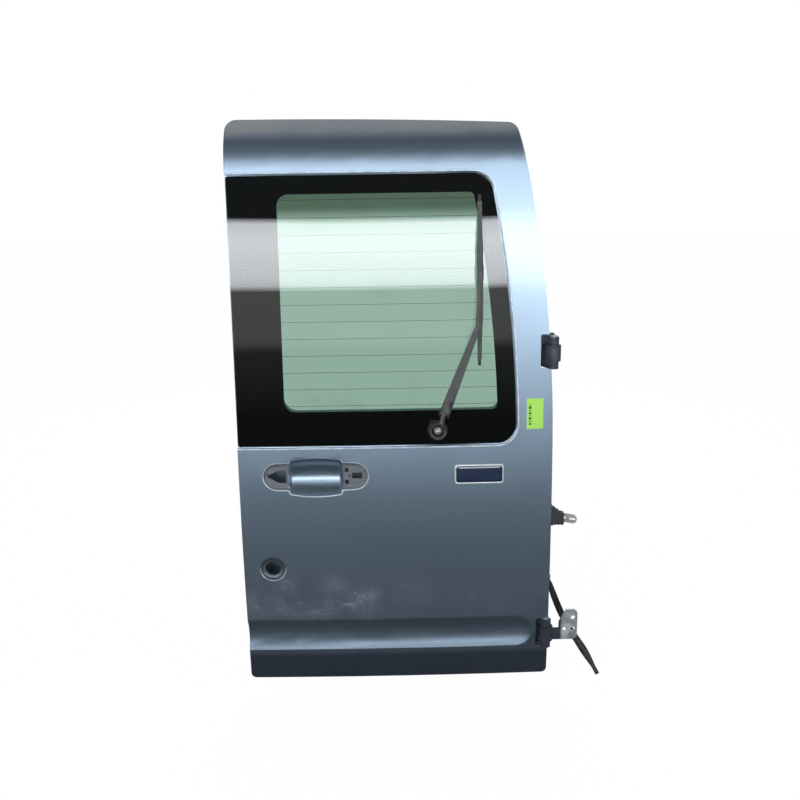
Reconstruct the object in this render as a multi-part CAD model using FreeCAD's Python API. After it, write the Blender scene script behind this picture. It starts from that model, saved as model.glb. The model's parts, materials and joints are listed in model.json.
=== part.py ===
import FreeCAD
import Part
import math
import os

from FreeCAD import Vector

os.makedirs("parts", exist_ok=True)

# Driving dimensions in millimetres and degrees.
# X runs to the hinge side seen from outside, Y into the van, Z up.
# The origin is the middle of the lower leaf's bolt holes, on the face that bolts to the van.

# Door outline seen from outside
door_width = 689.0
door_height = 1250.0
belt_height = 560.0
side_radius = 2870.0
roof_camber = 18.0
top_corner = 22.0
bottom_corner = 12.0

# Outer surface seen from the side
crown_radius = 12000.0
tuck_angle = -3.0
tuck_height = 110.0
belly_top = 540.0
lean_angle = 4.0
roof_rise = 100.0
roof_radius = 130.0
roof_end_angle = 80.0

# Sheet metal
sheet = 1.2
seam_gap = 0.2
hem_width = 10.0
wall_inset = 28.0
wall_corner = 26.0
lower_depth = 62.0
upper_depth = 46.0
ledge_height = 548.0

# Window
window_bottom = 558.0
window_top_drop = 112.0
window_pillar = 76.0
window_corner = 45.0
pocket_depth = 8.0
glass_recess = 1.0
glass_thickness = 4.0
glass_gap = 3.5
frit_thickness = 0.4
frit_gap = 0.1
frit_bottom = 79.0
frit_top = 42.0
frit_hinge_side = 44.0
frit_left = 106.0
clear_corner = 24.0
aperture_margin = 6.0
bead_edge = 7.0
bead_width = 10.0

# Openings and beads in the inner panel, heights from the door's lower edge
hand_opening_low = 180.0
hand_opening_width = 350.0
hand_opening_height = 170.0
hand_opening_corner = 30.0
latch_opening_start = 100.0
latch_opening_width = 135.0
latch_opening_low = 400.0
latch_opening_height = 120.0
check_opening_start = 70.0
check_opening_width = 120.0
check_opening_low = 365.0
check_opening_height = 105.0
side_opening_corner = 25.0
motor_opening_left = 75.0
motor_opening_right = 50.0
motor_opening_low = 34.0
motor_opening_high = 24.0
motor_opening_corner = 12.0
rib_radius = 14.0
rib_rise = 6.0
rib_side = 225.0
rib_low = 190.0
rib_high = 335.0
cross_rib_height = 100.0
cross_rib_half = 220.0
tunnel_lip = 14.0

# Hinges
hinge_reach = 54.0
leaf_face_offset = 9.0
edge_past_axis = 4.0
leaf_rise = 26.0
upper_leaf_rise = 0.0
leaf_drop = 3.0
leaf_cut_width = 16.0
leaf_cut_height = 30.0
leaf_side_share = 0.62
neck_inset = 1.0
lower_hinge_height = 105.0
hinge_spacing = 656.0
hinge_height = 68.0
boss_radius = 15.0
boss_height = 34.0
ear_radius = 10.5
pin_radius = 5.0
pin_clearance = 0.05
pin_head = 3.0
pin_head_lip = 2.5
ear_gap = 0.3
web_thickness = 5.0
web_setback = 4.0
web_end = 8.0
leaf_width = 42.0
leaf_height = 73.0
leaf_thickness = 6.0
leaf_corner = 10.0
leaf_low = 14.0
leaf_hole_radius = 5.5
leaf_hole_row = 28.0
leaf_hole_side = 6.0
leaf_third_side = 18.0
bracket_thickness = 5.0
bracket_depth = 42.0
bracket_setback = 13.0
bracket_corner = 6.0
notch_depth = 24.0
notch_play = 2.5
notch_corner = 4.0

# Swage groove
groove_height = 112.0
groove_width = 76.0
groove_depth = 11.0
groove_end = 37.0

# Handle recess
handle_from_left = 169.0
handle_height = 494.0
handle_length = 228.0
handle_pad = 58.0
handle_pad_depth = 5.0
cup_length = 112.0
cup_height = 86.0
cup_depth = 24.0
cup_barrel = 4.5

# Cut-outs in the handle's pads, from the recess's middle
arrow_half = [(-65, 15), (-82, 15), (-84, 12), (-90, 12), (-92, 8), (-100, 5), (-107, 1)]
pad_slots = [(68, 13, 8, 9), (68, -14, 8, 9), (90.7, 0, 22, 13)]
pad_screw_side = 73.6
pad_screw_radius = 2.5

# Lock dimple
lock_from_left = 65.0
lock_height = 279.0
lock_radius = 27.0
lock_floor_radius = 22.0
lock_depth = 5.0
lock_bore = 17.0
lock_collar = 8.0

# Wiper
wiper_from_left = 437.0
wiper_height = 595.0
arm_angle = 21.0
spindle_radius = 5.0
spindle_top = 21.0
glass_hole = 10.0
head_radius = 22.0
head_base = 5.0
head_top = 22.0
nut_flats = 13.0
nut_height = 6.5
lift_pin_reach = 40.0
lift_pin_level = 14.0
lift_pin_radius = 3.0
tongue_width = 9.0
arm_root_width = 20.0
arm_tip_width = 12.0
arm_wall = 2.0
arm_bend_reach = 236.0
arm_strip_width = 8.0
arm_strip_thickness = 3.0
arm_top = 25.0
arm_tip_height = 5.0
clip_rise = 337.0
clip_half = 16.0
clip_play = 0.3
blade_offset = 91.0
blade_low = 140.0
blade_length = 357.0
blade_width = 13.0
blade_end_width = 7.0
bridge_level = 12.6
bridge_height = 6.0
bridge_end_height = 3.5
bridge_share = 0.38
lip_gap = 1.0
lip_half = 0.8
lip_height = 5.0
rubber_half = 3.0
rubber_top = 9.0
yoke_level = 9.3
yoke_height = 3.0
yoke_half = 4.6
yoke_share = 0.21
claw_wall = 1.3
claw_length = 9.0
claw_drop = 3.0
cheek_half = 7.0
cheek_back = 6.0
cheek_front = 22.0
tongue_half = 7.0
spindle_inner = 34.0
grommet_lip = 5.0
grommet_collar = 3.5
grommet_play = 0.2
head_skirt = 5.0
nut_seat = 1.5
nut_well = 6.0
washer_lip = 2.0

# Wiper motor on its bracket behind the glass
bracket_sheet = 2.5
bracket_play = 0.3
bracket_left = 86.0
bracket_right = 62.0
bracket_low = 24.0
bracket_high = 16.0
bracket_bolt_radius = 3.2
bracket_bolt_inset = 8.0
bracket_bolt_level = -4.0
gearbox_radius = 28.0
gearbox_height = 24.0
motor_play = 0.2
can_radius = 15.0
can_length = 62.0
can_start = 20.0
can_low = 8.0
shaft_seat = 6.0

# Check strap
check_height = 393.0
check_behind_skin = 20.0
check_yaw = 12.0
check_droop = 7.0
strap_width = 20.0
strap_thickness = 4.0
strap_out = 88.0
strap_in = 82.0
strap_slot_length = 13.0
strap_slot_width = 5.0
strap_slot_pitch = 20.8
strap_stop = 8.0
strap_stop_proud = 3.0
strap_play = 0.6
check_box_length = 24.0
check_box_start = 12.0
check_box_overlap = 4.0
check_box_wall = 10.0
check_bridge_wall = 9.0
check_plate = 2.0
check_plate_low = 13.0
check_plate_high = 21.0
check_plate_half = 30.0
boot_root = 16.0
boot_root_wall = 6.0
boot_length = 40.0
boot_sleeve_wall = 2.5
boot_flange = 3.0
boot_flange_half = 14.0
boot_flange_rise = 22.0
wall_slot_half = 8.0
wall_slot_rise = 15.0

# Wiring loom
loom_diameter = 10.0
loom_elbow = 24.0
grommet_wall = 3.5
grommet_flange = 6.0
grommet_flange_height = 3.0
grommet_neck = 8.0
grommet_groove = 1.0
loom_hole_play = 2.7

# Latch
latch_drop = 20.0
latch_depth = 32.0
latch_width = 26.0
latch_half_depth = 22.0
latch_half_height = 42.0
latch_corner = 5.0
mouth_depth = 14.0
mouth_half_depth = 6.0
mouth_half_height = 20.0
striker_half_depth = 7.0
striker_half_height = 22.0
claw_radius = 9.0
claw_thickness = 4.0
claw_side = 4.0
claw_low = 6.0
claw_clearance = 0.5
throat_half = 3.0
throat_depth = 5.0
claw_pivot_radius = 3.0
claw_pivot_side = 8.5

# Placed values worked out from the driving dimensions
axis_x = -hinge_reach
axis_y = leaf_face_offset
lower_hinge_z = -leaf_rise
upper_hinge_z = lower_hinge_z + hinge_spacing
bottom_z = lower_hinge_z - lower_hinge_height
top_z = bottom_z + door_height
belt_z = bottom_z + belt_height
right_x = axis_x + edge_past_axis
left_x = right_x - door_width
middle_x = (left_x + right_x) / 2
camber_radius = door_width ** 2 / (2 * roof_camber)
window_low_z = bottom_z + window_bottom
window_high_z = top_z - window_top_drop
past = 60.0
seam = sheet + seam_gap
hem_depth = 3 * sheet + 2 * seam_gap
edge_drop = door_width ** 2 / (8 * crown_radius)
skin_y = axis_y - edge_drop
crown_y = skin_y + crown_radius


def rad(angle):
    return math.radians(angle)


def segment(start, end):
    return Part.LineSegment(start, end).toShape()


def arc(start, middle, end):
    return Part.Arc(start, middle, end).toShape()


def fused(shapes):
    return shapes[0].multiFuse(shapes[1:]).removeSplitter()


def cylinder(radius, length, base, direction):
    return Part.makeCylinder(radius, length, base, direction)


def save(name, shape):
    solid = shape.Solids[0] if len(shape.Solids) == 1 else shape
    solid.exportStep("parts/" + name + ".step")


# Outer surface: a chain of tangent lines and arcs, turned about a far upright axis

def profile_stations():
    belly_radius = (belly_top - tuck_height) / (math.sin(rad(lean_angle)) - math.sin(rad(tuck_angle)))
    low = -past
    y = skin_y + (lower_hinge_height - low) * math.tan(rad(-tuck_angle))
    straight = (door_height - roof_rise - belly_top) / math.cos(rad(lean_angle))
    chain = [("line", (tuck_height - low) / math.cos(rad(tuck_angle)), tuck_angle),
             ("arc", belly_radius, lean_angle),
             ("line", straight, lean_angle),
             ("arc", roof_radius, roof_end_angle)]
    stations = []
    z = bottom_z + low
    lean = tuck_angle
    for kind, size, end_lean in chain:
        stations.append((kind, size, y, z, lean, end_lean))
        if kind == "line":
            y += size * math.sin(rad(lean))
            z += size * math.cos(rad(lean))
        else:
            y += size * (math.cos(rad(lean)) - math.cos(rad(end_lean)))
            z += size * (math.sin(rad(end_lean)) - math.sin(rad(lean)))
        lean = end_lean
    return stations


def profile_point(station, share, depth):
    kind, size, y, z, lean, end_lean = station
    angle = lean + (end_lean - lean) * share
    if kind == "line":
        y += size * share * math.sin(rad(lean))
        z += size * share * math.cos(rad(lean))
    else:
        y += size * (math.cos(rad(lean)) - math.cos(rad(angle)))
        z += size * (math.sin(rad(angle)) - math.sin(rad(lean)))
    return Vector(middle_x, y + depth * math.cos(rad(angle)), z - depth * math.sin(rad(angle)))


def profile(depth):
    edges = []
    for station in profile_stations():
        start, middle, end = [profile_point(station, share, depth) for share in (0, 0.5, 1)]
        edges.append(segment(start, end) if station[0] == "line" else arc(start, middle, end))
    return edges, profile_point(profile_stations()[0], 0, depth), end


def turned(face, from_x, to_x):
    centre = Vector(middle_x, crown_y, 0)
    first = math.degrees(math.asin((from_x - middle_x) / crown_radius))
    last = math.degrees(math.asin((to_x - middle_x) / crown_radius))
    face.rotate(centre, Vector(0, 0, 1), first)
    return face.revolve(centre, Vector(0, 0, 1), last - first)


def band(front, back):
    front_edges, front_low, front_high = profile(front)
    back_edges, back_low, back_high = profile(back)
    loop = front_edges + [segment(front_high, back_high)] + back_edges + [segment(back_low, front_low)]
    face = Part.Face(Part.Wire(Part.__sortEdges__(loop)))
    return turned(face, left_x - past, right_x + past)


def skin_lean(z):
    for station in profile_stations():
        kind, size, y, low, lean, end_lean = station
        high = profile_point(station, 1, 0).z
        if z <= high:
            if kind == "line":
                return lean
            return math.degrees(math.asin(math.sin(rad(lean)) + (z - low) / size))
    return roof_end_angle


def skin_point(x, z, depth=0.0):
    lean = skin_lean(z)
    for station in profile_stations():
        if z <= profile_point(station, 1, 0).z:
            break
    kind, size, y, low, first, end_lean = station
    if kind == "line":
        y += (z - low) * math.tan(rad(first))
    else:
        y += size * (math.cos(rad(first)) - math.cos(rad(lean)))
    reach = crown_y - y
    return Vector(x, crown_y - math.sqrt(reach ** 2 - (x - middle_x) ** 2) + depth, z)


# Outlines seen from outside, as prisms along Y

front_y = skin_y - past
prism_depth = 4 * past + roof_radius + lower_depth


def at(x, z):
    return Vector(x, front_y, z)


def side_x(z, inset):
    if z <= belt_z:
        return right_x - inset
    return right_x - side_radius + math.sqrt((side_radius - inset) ** 2 - (z - belt_z) ** 2)


def roof_z(x, inset):
    return top_z - camber_radius + math.sqrt((camber_radius - inset) ** 2 - (x - left_x) ** 2)


def side_edges(low, high, inset):
    edges = []
    start = max(low, belt_z)
    if low < belt_z:
        edges.append(segment(at(right_x - inset, low), at(right_x - inset, belt_z)))
    middle = (start + high) / 2
    edges.append(arc(at(side_x(start, inset), start), at(side_x(middle, inset), middle),
                     at(side_x(high, inset), high)))
    return edges


def rounded_prism(edges, corners):
    solid = Part.Face(Part.Wire(Part.__sortEdges__(edges))).extrude(Vector(0, prism_depth, 0))
    for x, z, radius in corners:
        posts = []
        for edge in solid.Edges:
            first, last = edge.Vertexes[0].Point, edge.Vertexes[-1].Point
            upright = abs(first.x - last.x) + abs(first.z - last.z) < 1e-6
            if upright and math.hypot(first.x - x, first.z - z) < 0.01:
                posts.append(edge)
        solid = solid.makeFillet(radius, posts)
    return solid


def door_prism(inset):
    left, low = left_x + inset, bottom_z + inset
    high = top_z - inset
    for step in range(20):
        high = roof_z(side_x(high, inset), inset)
    corner_x = side_x(high, inset)
    middle = (left + corner_x) / 2
    top_left = roof_z(left, inset)
    edges = [segment(at(left, low), at(right_x - inset, low))]
    edges += side_edges(low, high, inset)
    edges.append(arc(at(corner_x, high), at(middle, roof_z(middle, inset)), at(left, top_left)))
    edges.append(segment(at(left, top_left), at(left, low)))
    top_round = top_corner - inset if inset < wall_inset else wall_corner - (inset - wall_inset)
    low_round = bottom_corner - inset if inset < wall_inset else wall_corner - (inset - wall_inset)
    return rounded_prism(edges, [(left, low, low_round), (right_x - inset, low, low_round),
                                 (corner_x, high, top_round), (left, top_left, top_round)])


def window_prism(left, low, high, inset, radius, left_radius=0.0):
    edges = [segment(at(left, low), at(side_x(low, inset), low))]
    edges += side_edges(low, high, inset)
    edges.append(segment(at(side_x(high, inset), high), at(left, high)))
    edges.append(segment(at(left, high), at(left, low)))
    corners = [(side_x(low, inset), low, radius), (side_x(high, inset), high, radius)]
    if left_radius:
        corners += [(left, low, left_radius), (left, high, left_radius)]
    return rounded_prism(edges, corners)


def pocket_prism(grow):
    return window_prism(left_x - past, window_low_z - grow, window_high_z + grow,
                        window_pillar - grow, window_corner + grow)


def glass_prism(inset):
    edge = glass_gap + inset
    return window_prism(left_x + sheet + inset, window_low_z + edge, window_high_z - edge,
                        window_pillar + edge, window_corner - edge, max(6.0 - inset, 1.0))


def clear_prism(grow):
    return window_prism(left_x + frit_left - grow, window_low_z + frit_bottom - grow,
                        window_high_z - frit_top + grow, window_pillar + frit_hinge_side - grow,
                        clear_corner / 2 + grow, clear_corner + grow)


def block(x0, x1, y0, y1, z0, z1):
    return Part.makeBox(x1 - x0, y1 - y0, z1 - z0, Vector(x0, y0, z0))


def rounded_block(x0, x1, y0, y1, z0, z1, radius):
    solid = block(x0, x1, y0, y1, z0, z1)
    posts = [e for e in solid.Edges if abs(e.Vertexes[0].Point.y - e.Vertexes[1].Point.y) > 1e-6]
    return solid.makeFillet(radius, posts)


# Pressed features: a tool that is cut out, and the same tool grown by the sheet

def groove_tool(grow):
    half = groove_width / 2
    radius = (half ** 2 + groove_depth ** 2) / (2 * groove_depth)
    z = bottom_z + groove_height
    lean = skin_lean(z)
    outward = Vector(0, -math.cos(rad(lean)), math.sin(rad(lean)))
    centre = skin_point(middle_x, z) + outward * (radius - groove_depth)
    disc = Part.Face(Part.Wire(Part.makeCircle(radius + grow, centre, Vector(1, 0, 0))))
    end_x = right_x - groove_end - half
    length = turned(disc, left_x - past, end_x)
    turn = math.asin((end_x - middle_x) / crown_radius)
    reach = crown_y - centre.y
    end = Vector(middle_x + reach * math.sin(turn), crown_y - reach * math.cos(turn), centre.z)
    return length.fuse(Part.makeSphere(radius + grow, end))


def handle_tool(grow):
    x = left_x + handle_from_left
    z = bottom_z + handle_height
    half = handle_pad / 2 + grow
    reach = handle_length / 2 - handle_pad / 2
    pads = block(x - reach, x + reach, front_y, front_y + prism_depth, z - half, z + half)
    for side in (-1, 1):
        pads = pads.fuse(cylinder(half, prism_depth, Vector(x + side * reach, front_y, z), Vector(0, 1, 0)))
    pads = pads.common(band(-past / 3, handle_pad_depth + grow))
    radius = ((cup_height / 2) ** 2 + cup_depth ** 2) / (2 * cup_depth)
    centre = skin_point(x, z, cup_depth - radius)
    half_cup = cup_length / 2 + grow
    radius += grow
    ends = [centre + Vector(side * half_cup, radius - cup_barrel, 0) for side in (-1, 1)]
    loop = [segment(centre + Vector(-half_cup, 0, 0), ends[0]),
            arc(ends[0], centre + Vector(0, radius, 0), ends[1]),
            segment(ends[1], centre + Vector(half_cup, 0, 0)),
            segment(centre + Vector(half_cup, 0, 0), centre + Vector(-half_cup, 0, 0))]
    cup = Part.Face(Part.Wire(loop)).revolve(centre, Vector(1, 0, 0), 360)
    return pads.fuse(cup)


def lock_tool(grow):
    centre = skin_point(left_x + lock_from_left, bottom_z + lock_height)
    rim = lock_radius + (lock_radius - lock_floor_radius) * past / 3 / lock_depth
    return Part.makeCone(rim + grow, lock_floor_radius + grow, past / 3 + lock_depth + grow,
                         centre - Vector(0, past / 3, 0), Vector(0, 1, 0))


def handle_holes():
    x = left_x + handle_from_left
    z = bottom_z + handle_height
    arrow = arrow_half + [(u, -v) for u, v in reversed(arrow_half)]
    arrow_wire = Part.makePolygon([at(x + u, z + v) for u, v in arrow + arrow[:1]])
    holes = [Part.Face(arrow_wire).extrude(Vector(0, prism_depth, 0))]
    for u, v, width, height in pad_slots:
        holes.append(block(x + u - width / 2, x + u + width / 2, front_y, front_y + prism_depth,
                           z + v - height / 2, z + v + height / 2))
    holes.append(cylinder(pad_screw_radius, prism_depth, at(x + pad_screw_side, z), Vector(0, 1, 0)))
    return holes


def hinge_notch(z):
    half = hinge_height / 2 + notch_play
    return rounded_block(axis_x - notch_depth, right_x + past, front_y, skin_y + past / 2,
                         z - half, z + half, notch_corner)


def pressed_sheet(tool):
    return tool(sheet).cut(tool(0)).common(band(0, lower_depth)).common(door_prism(0))


def outer_panel():
    outline = door_prism(0)
    pocket, pocket_wall = pocket_prism(0), pocket_prism(sheet)
    skin = band(0, sheet).common(outline)
    hem = band(0, hem_depth).common(outline.cut(door_prism(hem_width)))
    slot = band(sheet, hem_depth - sheet).common(door_prism(sheet).cut(door_prism(hem_width + seam)))
    wall = band(0, pocket_depth + sheet).common(pocket_wall.cut(pocket)).common(outline)
    floor = band(pocket_depth, pocket_depth + sheet).common(pocket_wall).common(outline)
    panel = fused([skin, hem.cut(slot)]).cut(pocket)
    panel = fused([panel, wall, floor]).cut(clear_prism(aperture_margin))
    panel = fused([panel.cut(groove_tool(0)), pressed_sheet(groove_tool)])
    hinges = [hinge_notch(z) for z in (lower_hinge_z, upper_hinge_z)]
    shaft = skin_point(wiper_x, wiper_z)
    spindle = cylinder(glass_hole + grommet_lip + sheet, past, shaft - Vector(0, past / 2, 0), Vector(0, 1, 0))
    return panel.cut([handle_tool(seam), lock_tool(seam)] + hinges + [spindle]).removeSplitter()


def handle_recess():
    return pressed_sheet(handle_tool).cut(handle_holes()).removeSplitter()


def lock_cup():
    lock = skin_point(left_x + lock_from_left, bottom_z + lock_height, lock_depth)
    collar = cylinder(lock_bore + sheet, lock_collar, lock, Vector(0, 1, 0))
    bore = cylinder(lock_bore, past, lock - Vector(0, past / 2, 0), Vector(0, 1, 0))
    return fused([pressed_sheet(lock_tool), collar]).cut(bore).removeSplitter()


# Inner side: a ribbed pan, the frame and tunnel of the window, a wall around them and a flange in the hem

wiper_x = left_x + wiper_from_left
wiper_z = bottom_z + wiper_height
ledge_z = bottom_z + ledge_height


def below(ledge):
    return block(left_x - 2 * past, right_x + 2 * past, front_y, front_y + prism_depth, bottom_z - 2 * past, ledge)


def split_band(front, low_back, high_back, ledge):
    return fused([band(front, low_back).common(below(ledge)), band(front, high_back).cut(below(ledge))])


def service_openings():
    y0, y1 = skin_y + lower_depth - past / 4, skin_y + lower_depth + past
    half = hand_opening_width / 2
    latch_start = left_x + latch_opening_start
    check_end = right_x - check_opening_start
    spaces = [(middle_x - half, middle_x + half, hand_opening_low, hand_opening_height, hand_opening_corner),
              (latch_start, latch_start + latch_opening_width, latch_opening_low, latch_opening_height,
               side_opening_corner),
              (check_end - check_opening_width, check_end, check_opening_low, check_opening_height,
               side_opening_corner)]
    return [rounded_block(x0, x1, y0, y1, bottom_z + low, bottom_z + low + height, corner)
            for x0, x1, low, height, corner in spaces]


def motor_opening():
    upper = skin_point(wiper_x, wiper_z, upper_depth)
    return rounded_block(wiper_x - motor_opening_left, wiper_x + motor_opening_right,
                         upper.y - past / 4, upper.y + past, wiper_z - motor_opening_low,
                         wiper_z + motor_opening_high, motor_opening_corner)


def rib_tool(grow):
    low, high = bottom_z + rib_low, bottom_z + rib_high
    level = bottom_z + cross_rib_height
    half = rib_radius + grow
    lines = [(middle_x - cross_rib_half, level, middle_x + cross_rib_half, level)]
    lines += [(middle_x + side * rib_side, low, middle_x + side * rib_side, high) for side in (-1, 1)]
    solids = [rounded_block(x0 - half, x1 + half, front_y, front_y + prism_depth, z0 - half, z1 + half, half - frit_gap)
              for x0, z0, x1, z1 in lines]
    return Part.makeCompound(solids).common(band(lower_depth - past / 4, lower_depth + rib_rise + grow))


def pan_sheets():
    solid = split_band(seam, lower_depth + sheet, upper_depth + sheet, ledge_z)
    hollow = split_band(-past / 2, lower_depth, upper_depth, ledge_z - sheet)
    return solid.common(door_prism(wall_inset + seam)).cut(hollow)


def inner_panel():
    pan = pan_sheets().common(below(ledge_z))
    ribs = rib_tool(sheet).cut(rib_tool(0)).common(band(lower_depth, lower_depth + past))
    pan = fused([pan.cut(rib_tool(0)), ribs])
    return pan.cut(service_openings() + [loom_hole()]).removeSplitter()


def window_frame():
    frame = pan_sheets().cut([below(ledge_z + seam_gap), clear_prism(aperture_margin + seam)])
    return frame.cut(motor_opening()).removeSplitter()


def window_tunnel():
    deep = pocket_depth + seam
    tube = band(deep, upper_depth + sheet).common(clear_prism(aperture_margin + sheet))
    lip = band(deep, deep + sheet).common(clear_prism(aperture_margin + tunnel_lip))
    return fused([tube, lip]).cut(clear_prism(aperture_margin)).removeSplitter()


def inner_wall():
    deep = pocket_depth + seam
    wall = split_band(2 * seam, lower_depth + sheet, upper_depth + sheet, ledge_z)
    wall = wall.common(door_prism(wall_inset).cut(door_prism(wall_inset + sheet)))
    step = band(-past / 2, deep + seam).common(pocket_prism(2 * seam))
    notches = [hinge_notch(z) for z in (lower_hinge_z, upper_hinge_z)]
    cuts = notches + [step, groove_tool(seam), strap_slot(), loom_hole(), latch_slot()]
    return wall.cut(cuts).removeSplitter()


def hem_flange():
    deep = pocket_depth + seam
    ring = door_prism(seam).cut(door_prism(wall_inset + sheet))
    pocket, pocket_wall = pocket_prism(seam), pocket_prism(seam + sheet)
    face = band(seam, seam + sheet).common(ring).cut(pocket)
    riser = band(seam, deep + sheet).common(ring).common(pocket_wall.cut(pocket))
    riser = riser.common(door_prism(hem_width + seam_gap))
    floor = band(deep, deep + sheet).common(ring).common(pocket_wall)
    notches = [hinge_notch(z) for z in (lower_hinge_z, upper_hinge_z)]
    return fused([face, riser, floor]).cut(notches + [groove_tool(seam)]).removeSplitter()


# Window

def window_glass():
    pane = band(glass_recess, glass_recess + glass_thickness).common(glass_prism(0))
    return pane.cut(wiper_bore(glass_hole))


def frit_border():
    back = glass_recess + glass_thickness + frit_gap
    layer = band(back, back + frit_thickness).common(glass_prism(1.0).cut(clear_prism(0)))
    return layer.cut(wiper_bore(glass_hole))


def glass_bead():
    front = glass_recess + glass_thickness + frit_thickness + 2 * frit_gap
    ring = glass_prism(bead_edge).cut(glass_prism(bead_edge + bead_width))
    return band(front, pocket_depth - frit_gap).common(ring)


# Hinges: door bracket with two ears, pin, and the van's leaf with its middle boss

def hinge_bracket(z):
    wall_x = side_x(z, wall_inset) + seam_gap
    half = hinge_height / 2
    y0 = skin_point(axis_x, z).y + bracket_setback
    plate = rounded_plate(wall_x, wall_x + bracket_thickness, y0, y0 + bracket_depth, z - half, z + half)
    slope = math.degrees(math.asin(max(z - belt_z, 0) / (side_radius - wall_inset)))
    plate.rotate(Vector(wall_x, y0, z), Vector(0, 1, 0), -slope)
    solids = [plate]
    ear_height = (hinge_height - boss_height) / 2 - ear_gap
    for low in (z - half, z + half - ear_height):
        root_x = side_x(low + ear_height / 2, wall_inset) + bracket_thickness * 0.6
        corners = [(root_x, y0 + 2), (root_x, y0 + bracket_depth * 0.7),
                   (axis_x + ear_radius * 0.8, axis_y + ear_radius * 0.6),
                   (axis_x - ear_radius, axis_y)]
        wire = Part.makePolygon([Vector(x, y, low) for x, y in corners + corners[:1]])
        web = Part.Face(wire).extrude(Vector(0, 0, ear_height))
        solids.append(web)
        solids.append(cylinder(ear_radius, ear_height, Vector(axis_x, axis_y, low), Vector(0, 0, 1)))
    web_y = y0 + web_setback
    solids.append(block(wall_x + bracket_thickness / 2, axis_x - web_end, web_y, web_y + web_thickness,
                        z - half, z + half))
    bore = cylinder(pin_radius + pin_clearance, hinge_height, Vector(axis_x, axis_y, z - half), Vector(0, 0, 1))
    return fused(solids).cut(bore)


def rounded_plate(x0, x1, y0, y1, z0, z1):
    solid = block(x0, x1, y0, y1, z0, z1)
    rows = [e for e in solid.Edges if abs(e.Vertexes[0].Point.x - e.Vertexes[1].Point.x) > 1e-6]
    return solid.makeFillet(bracket_corner, rows)


def hinge_pin(z):
    half = hinge_height / 2
    shank = cylinder(pin_radius, hinge_height + pin_head, Vector(axis_x, axis_y, z - half), Vector(0, 0, 1))
    head = cylinder(pin_radius + pin_head_lip, pin_head, Vector(axis_x, axis_y, z + half), Vector(0, 0, 1))
    return shank.fuse(head)


def hinge_leaf(z, rise):
    half = boss_height / 2
    boss = cylinder(boss_radius, boss_height, Vector(axis_x, axis_y, z - half), Vector(0, 0, 1))
    plate_x = axis_x + hinge_reach - leaf_width * leaf_side_share
    low = z + rise - leaf_height / 2 - leaf_drop
    high = low + leaf_height
    plate = rounded_block(plate_x, plate_x + leaf_width, 0, leaf_thickness, low, high, leaf_corner)
    corner = [(plate_x, high), (plate_x + leaf_cut_width, high), (plate_x, high - leaf_cut_height), (plate_x, high)]
    wedge = Part.Face(Part.makePolygon([Vector(x, 0, level) for x, level in corner]))
    plate = plate.cut(wedge.extrude(Vector(0, leaf_thickness, 0)))
    neck = block(axis_x, plate_x + leaf_corner * 1.5, neck_inset, leaf_thickness, z - leaf_low, z + leaf_low)
    leaf = fused([boss, plate, neck])
    holes = [(leaf_hole_side, leaf_hole_row / 2), (leaf_hole_side, -leaf_hole_row / 2),
             (leaf_hole_side - leaf_third_side, -leaf_hole_row / 2)]
    cuts = [cylinder(leaf_hole_radius, past, Vector(axis_x + hinge_reach + u, -past / 2, z + rise + v),
                     Vector(0, 1, 0)) for u, v in holes]
    cuts.append(cylinder(pin_radius + pin_clearance, boss_height, Vector(axis_x, axis_y, z - half), Vector(0, 0, 1)))
    return leaf.cut(cuts)


# Check strap in its own slanted frame, with its zero where it crosses the side wall

check_wall_x = right_x - wall_inset
check_z = bottom_z + check_height
check_point = skin_point(check_wall_x, check_z, check_behind_skin)
check_axis = Vector(math.cos(rad(check_droop)) * math.cos(rad(check_yaw)),
                    -math.cos(rad(check_droop)) * math.sin(rad(check_yaw)),
                    -math.sin(rad(check_droop)))
check_turn = FreeCAD.Rotation(Vector(0, 0, 1), -check_yaw).multiply(FreeCAD.Rotation(Vector(0, 1, 0), check_droop))
check_frame = FreeCAD.Placement(check_point, check_turn)


def slanted(shape):
    shape.Placement = check_frame.multiply(shape.Placement)
    return shape


def strap_block(start, end, margin):
    half, thick = strap_width / 2 + margin, strap_thickness / 2 + margin
    return slanted(block(start, end, -thick, thick, -half, half))


def check_strap():
    half, thick = strap_width / 2, strap_thickness / 2
    bar = block(-strap_in, strap_out - half, -thick, thick, -half, half)
    end = cylinder(half, strap_thickness, Vector(strap_out - half, -thick, 0), Vector(0, 1, 0))
    stop = block(-strap_in, -strap_in + strap_stop, -thick - strap_stop_proud, thick + strap_stop_proud, -half, half)
    strap = fused([bar, end, stop])
    for middle in (strap_out - half, strap_out - half - strap_slot_pitch):
        slot = block(middle - strap_slot_length / 2, middle + strap_slot_length / 2, -past, past,
                     -strap_slot_width / 2, strap_slot_width / 2)
        strap = strap.cut(slot)
    return slanted(strap)


def check_box():
    case_end = check_box_overlap - check_box_start
    case = strap_block(-check_box_start - check_box_length, case_end, check_box_wall)
    x1 = check_wall_x - sheet - seam_gap
    plate = block(x1 - check_plate, x1, check_point.y - check_plate_low, check_point.y + check_plate_high,
                  check_z - check_plate_half, check_z + check_plate_half)
    bridge = strap_block(case_end - check_plate, check_box_overlap, check_bridge_wall)
    bridge = bridge.common(block(x1 - past, x1, front_y, front_y + prism_depth, check_z - past, check_z + past))
    return fused([case, plate, bridge]).cut(strap_block(-past, past, strap_play))


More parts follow.
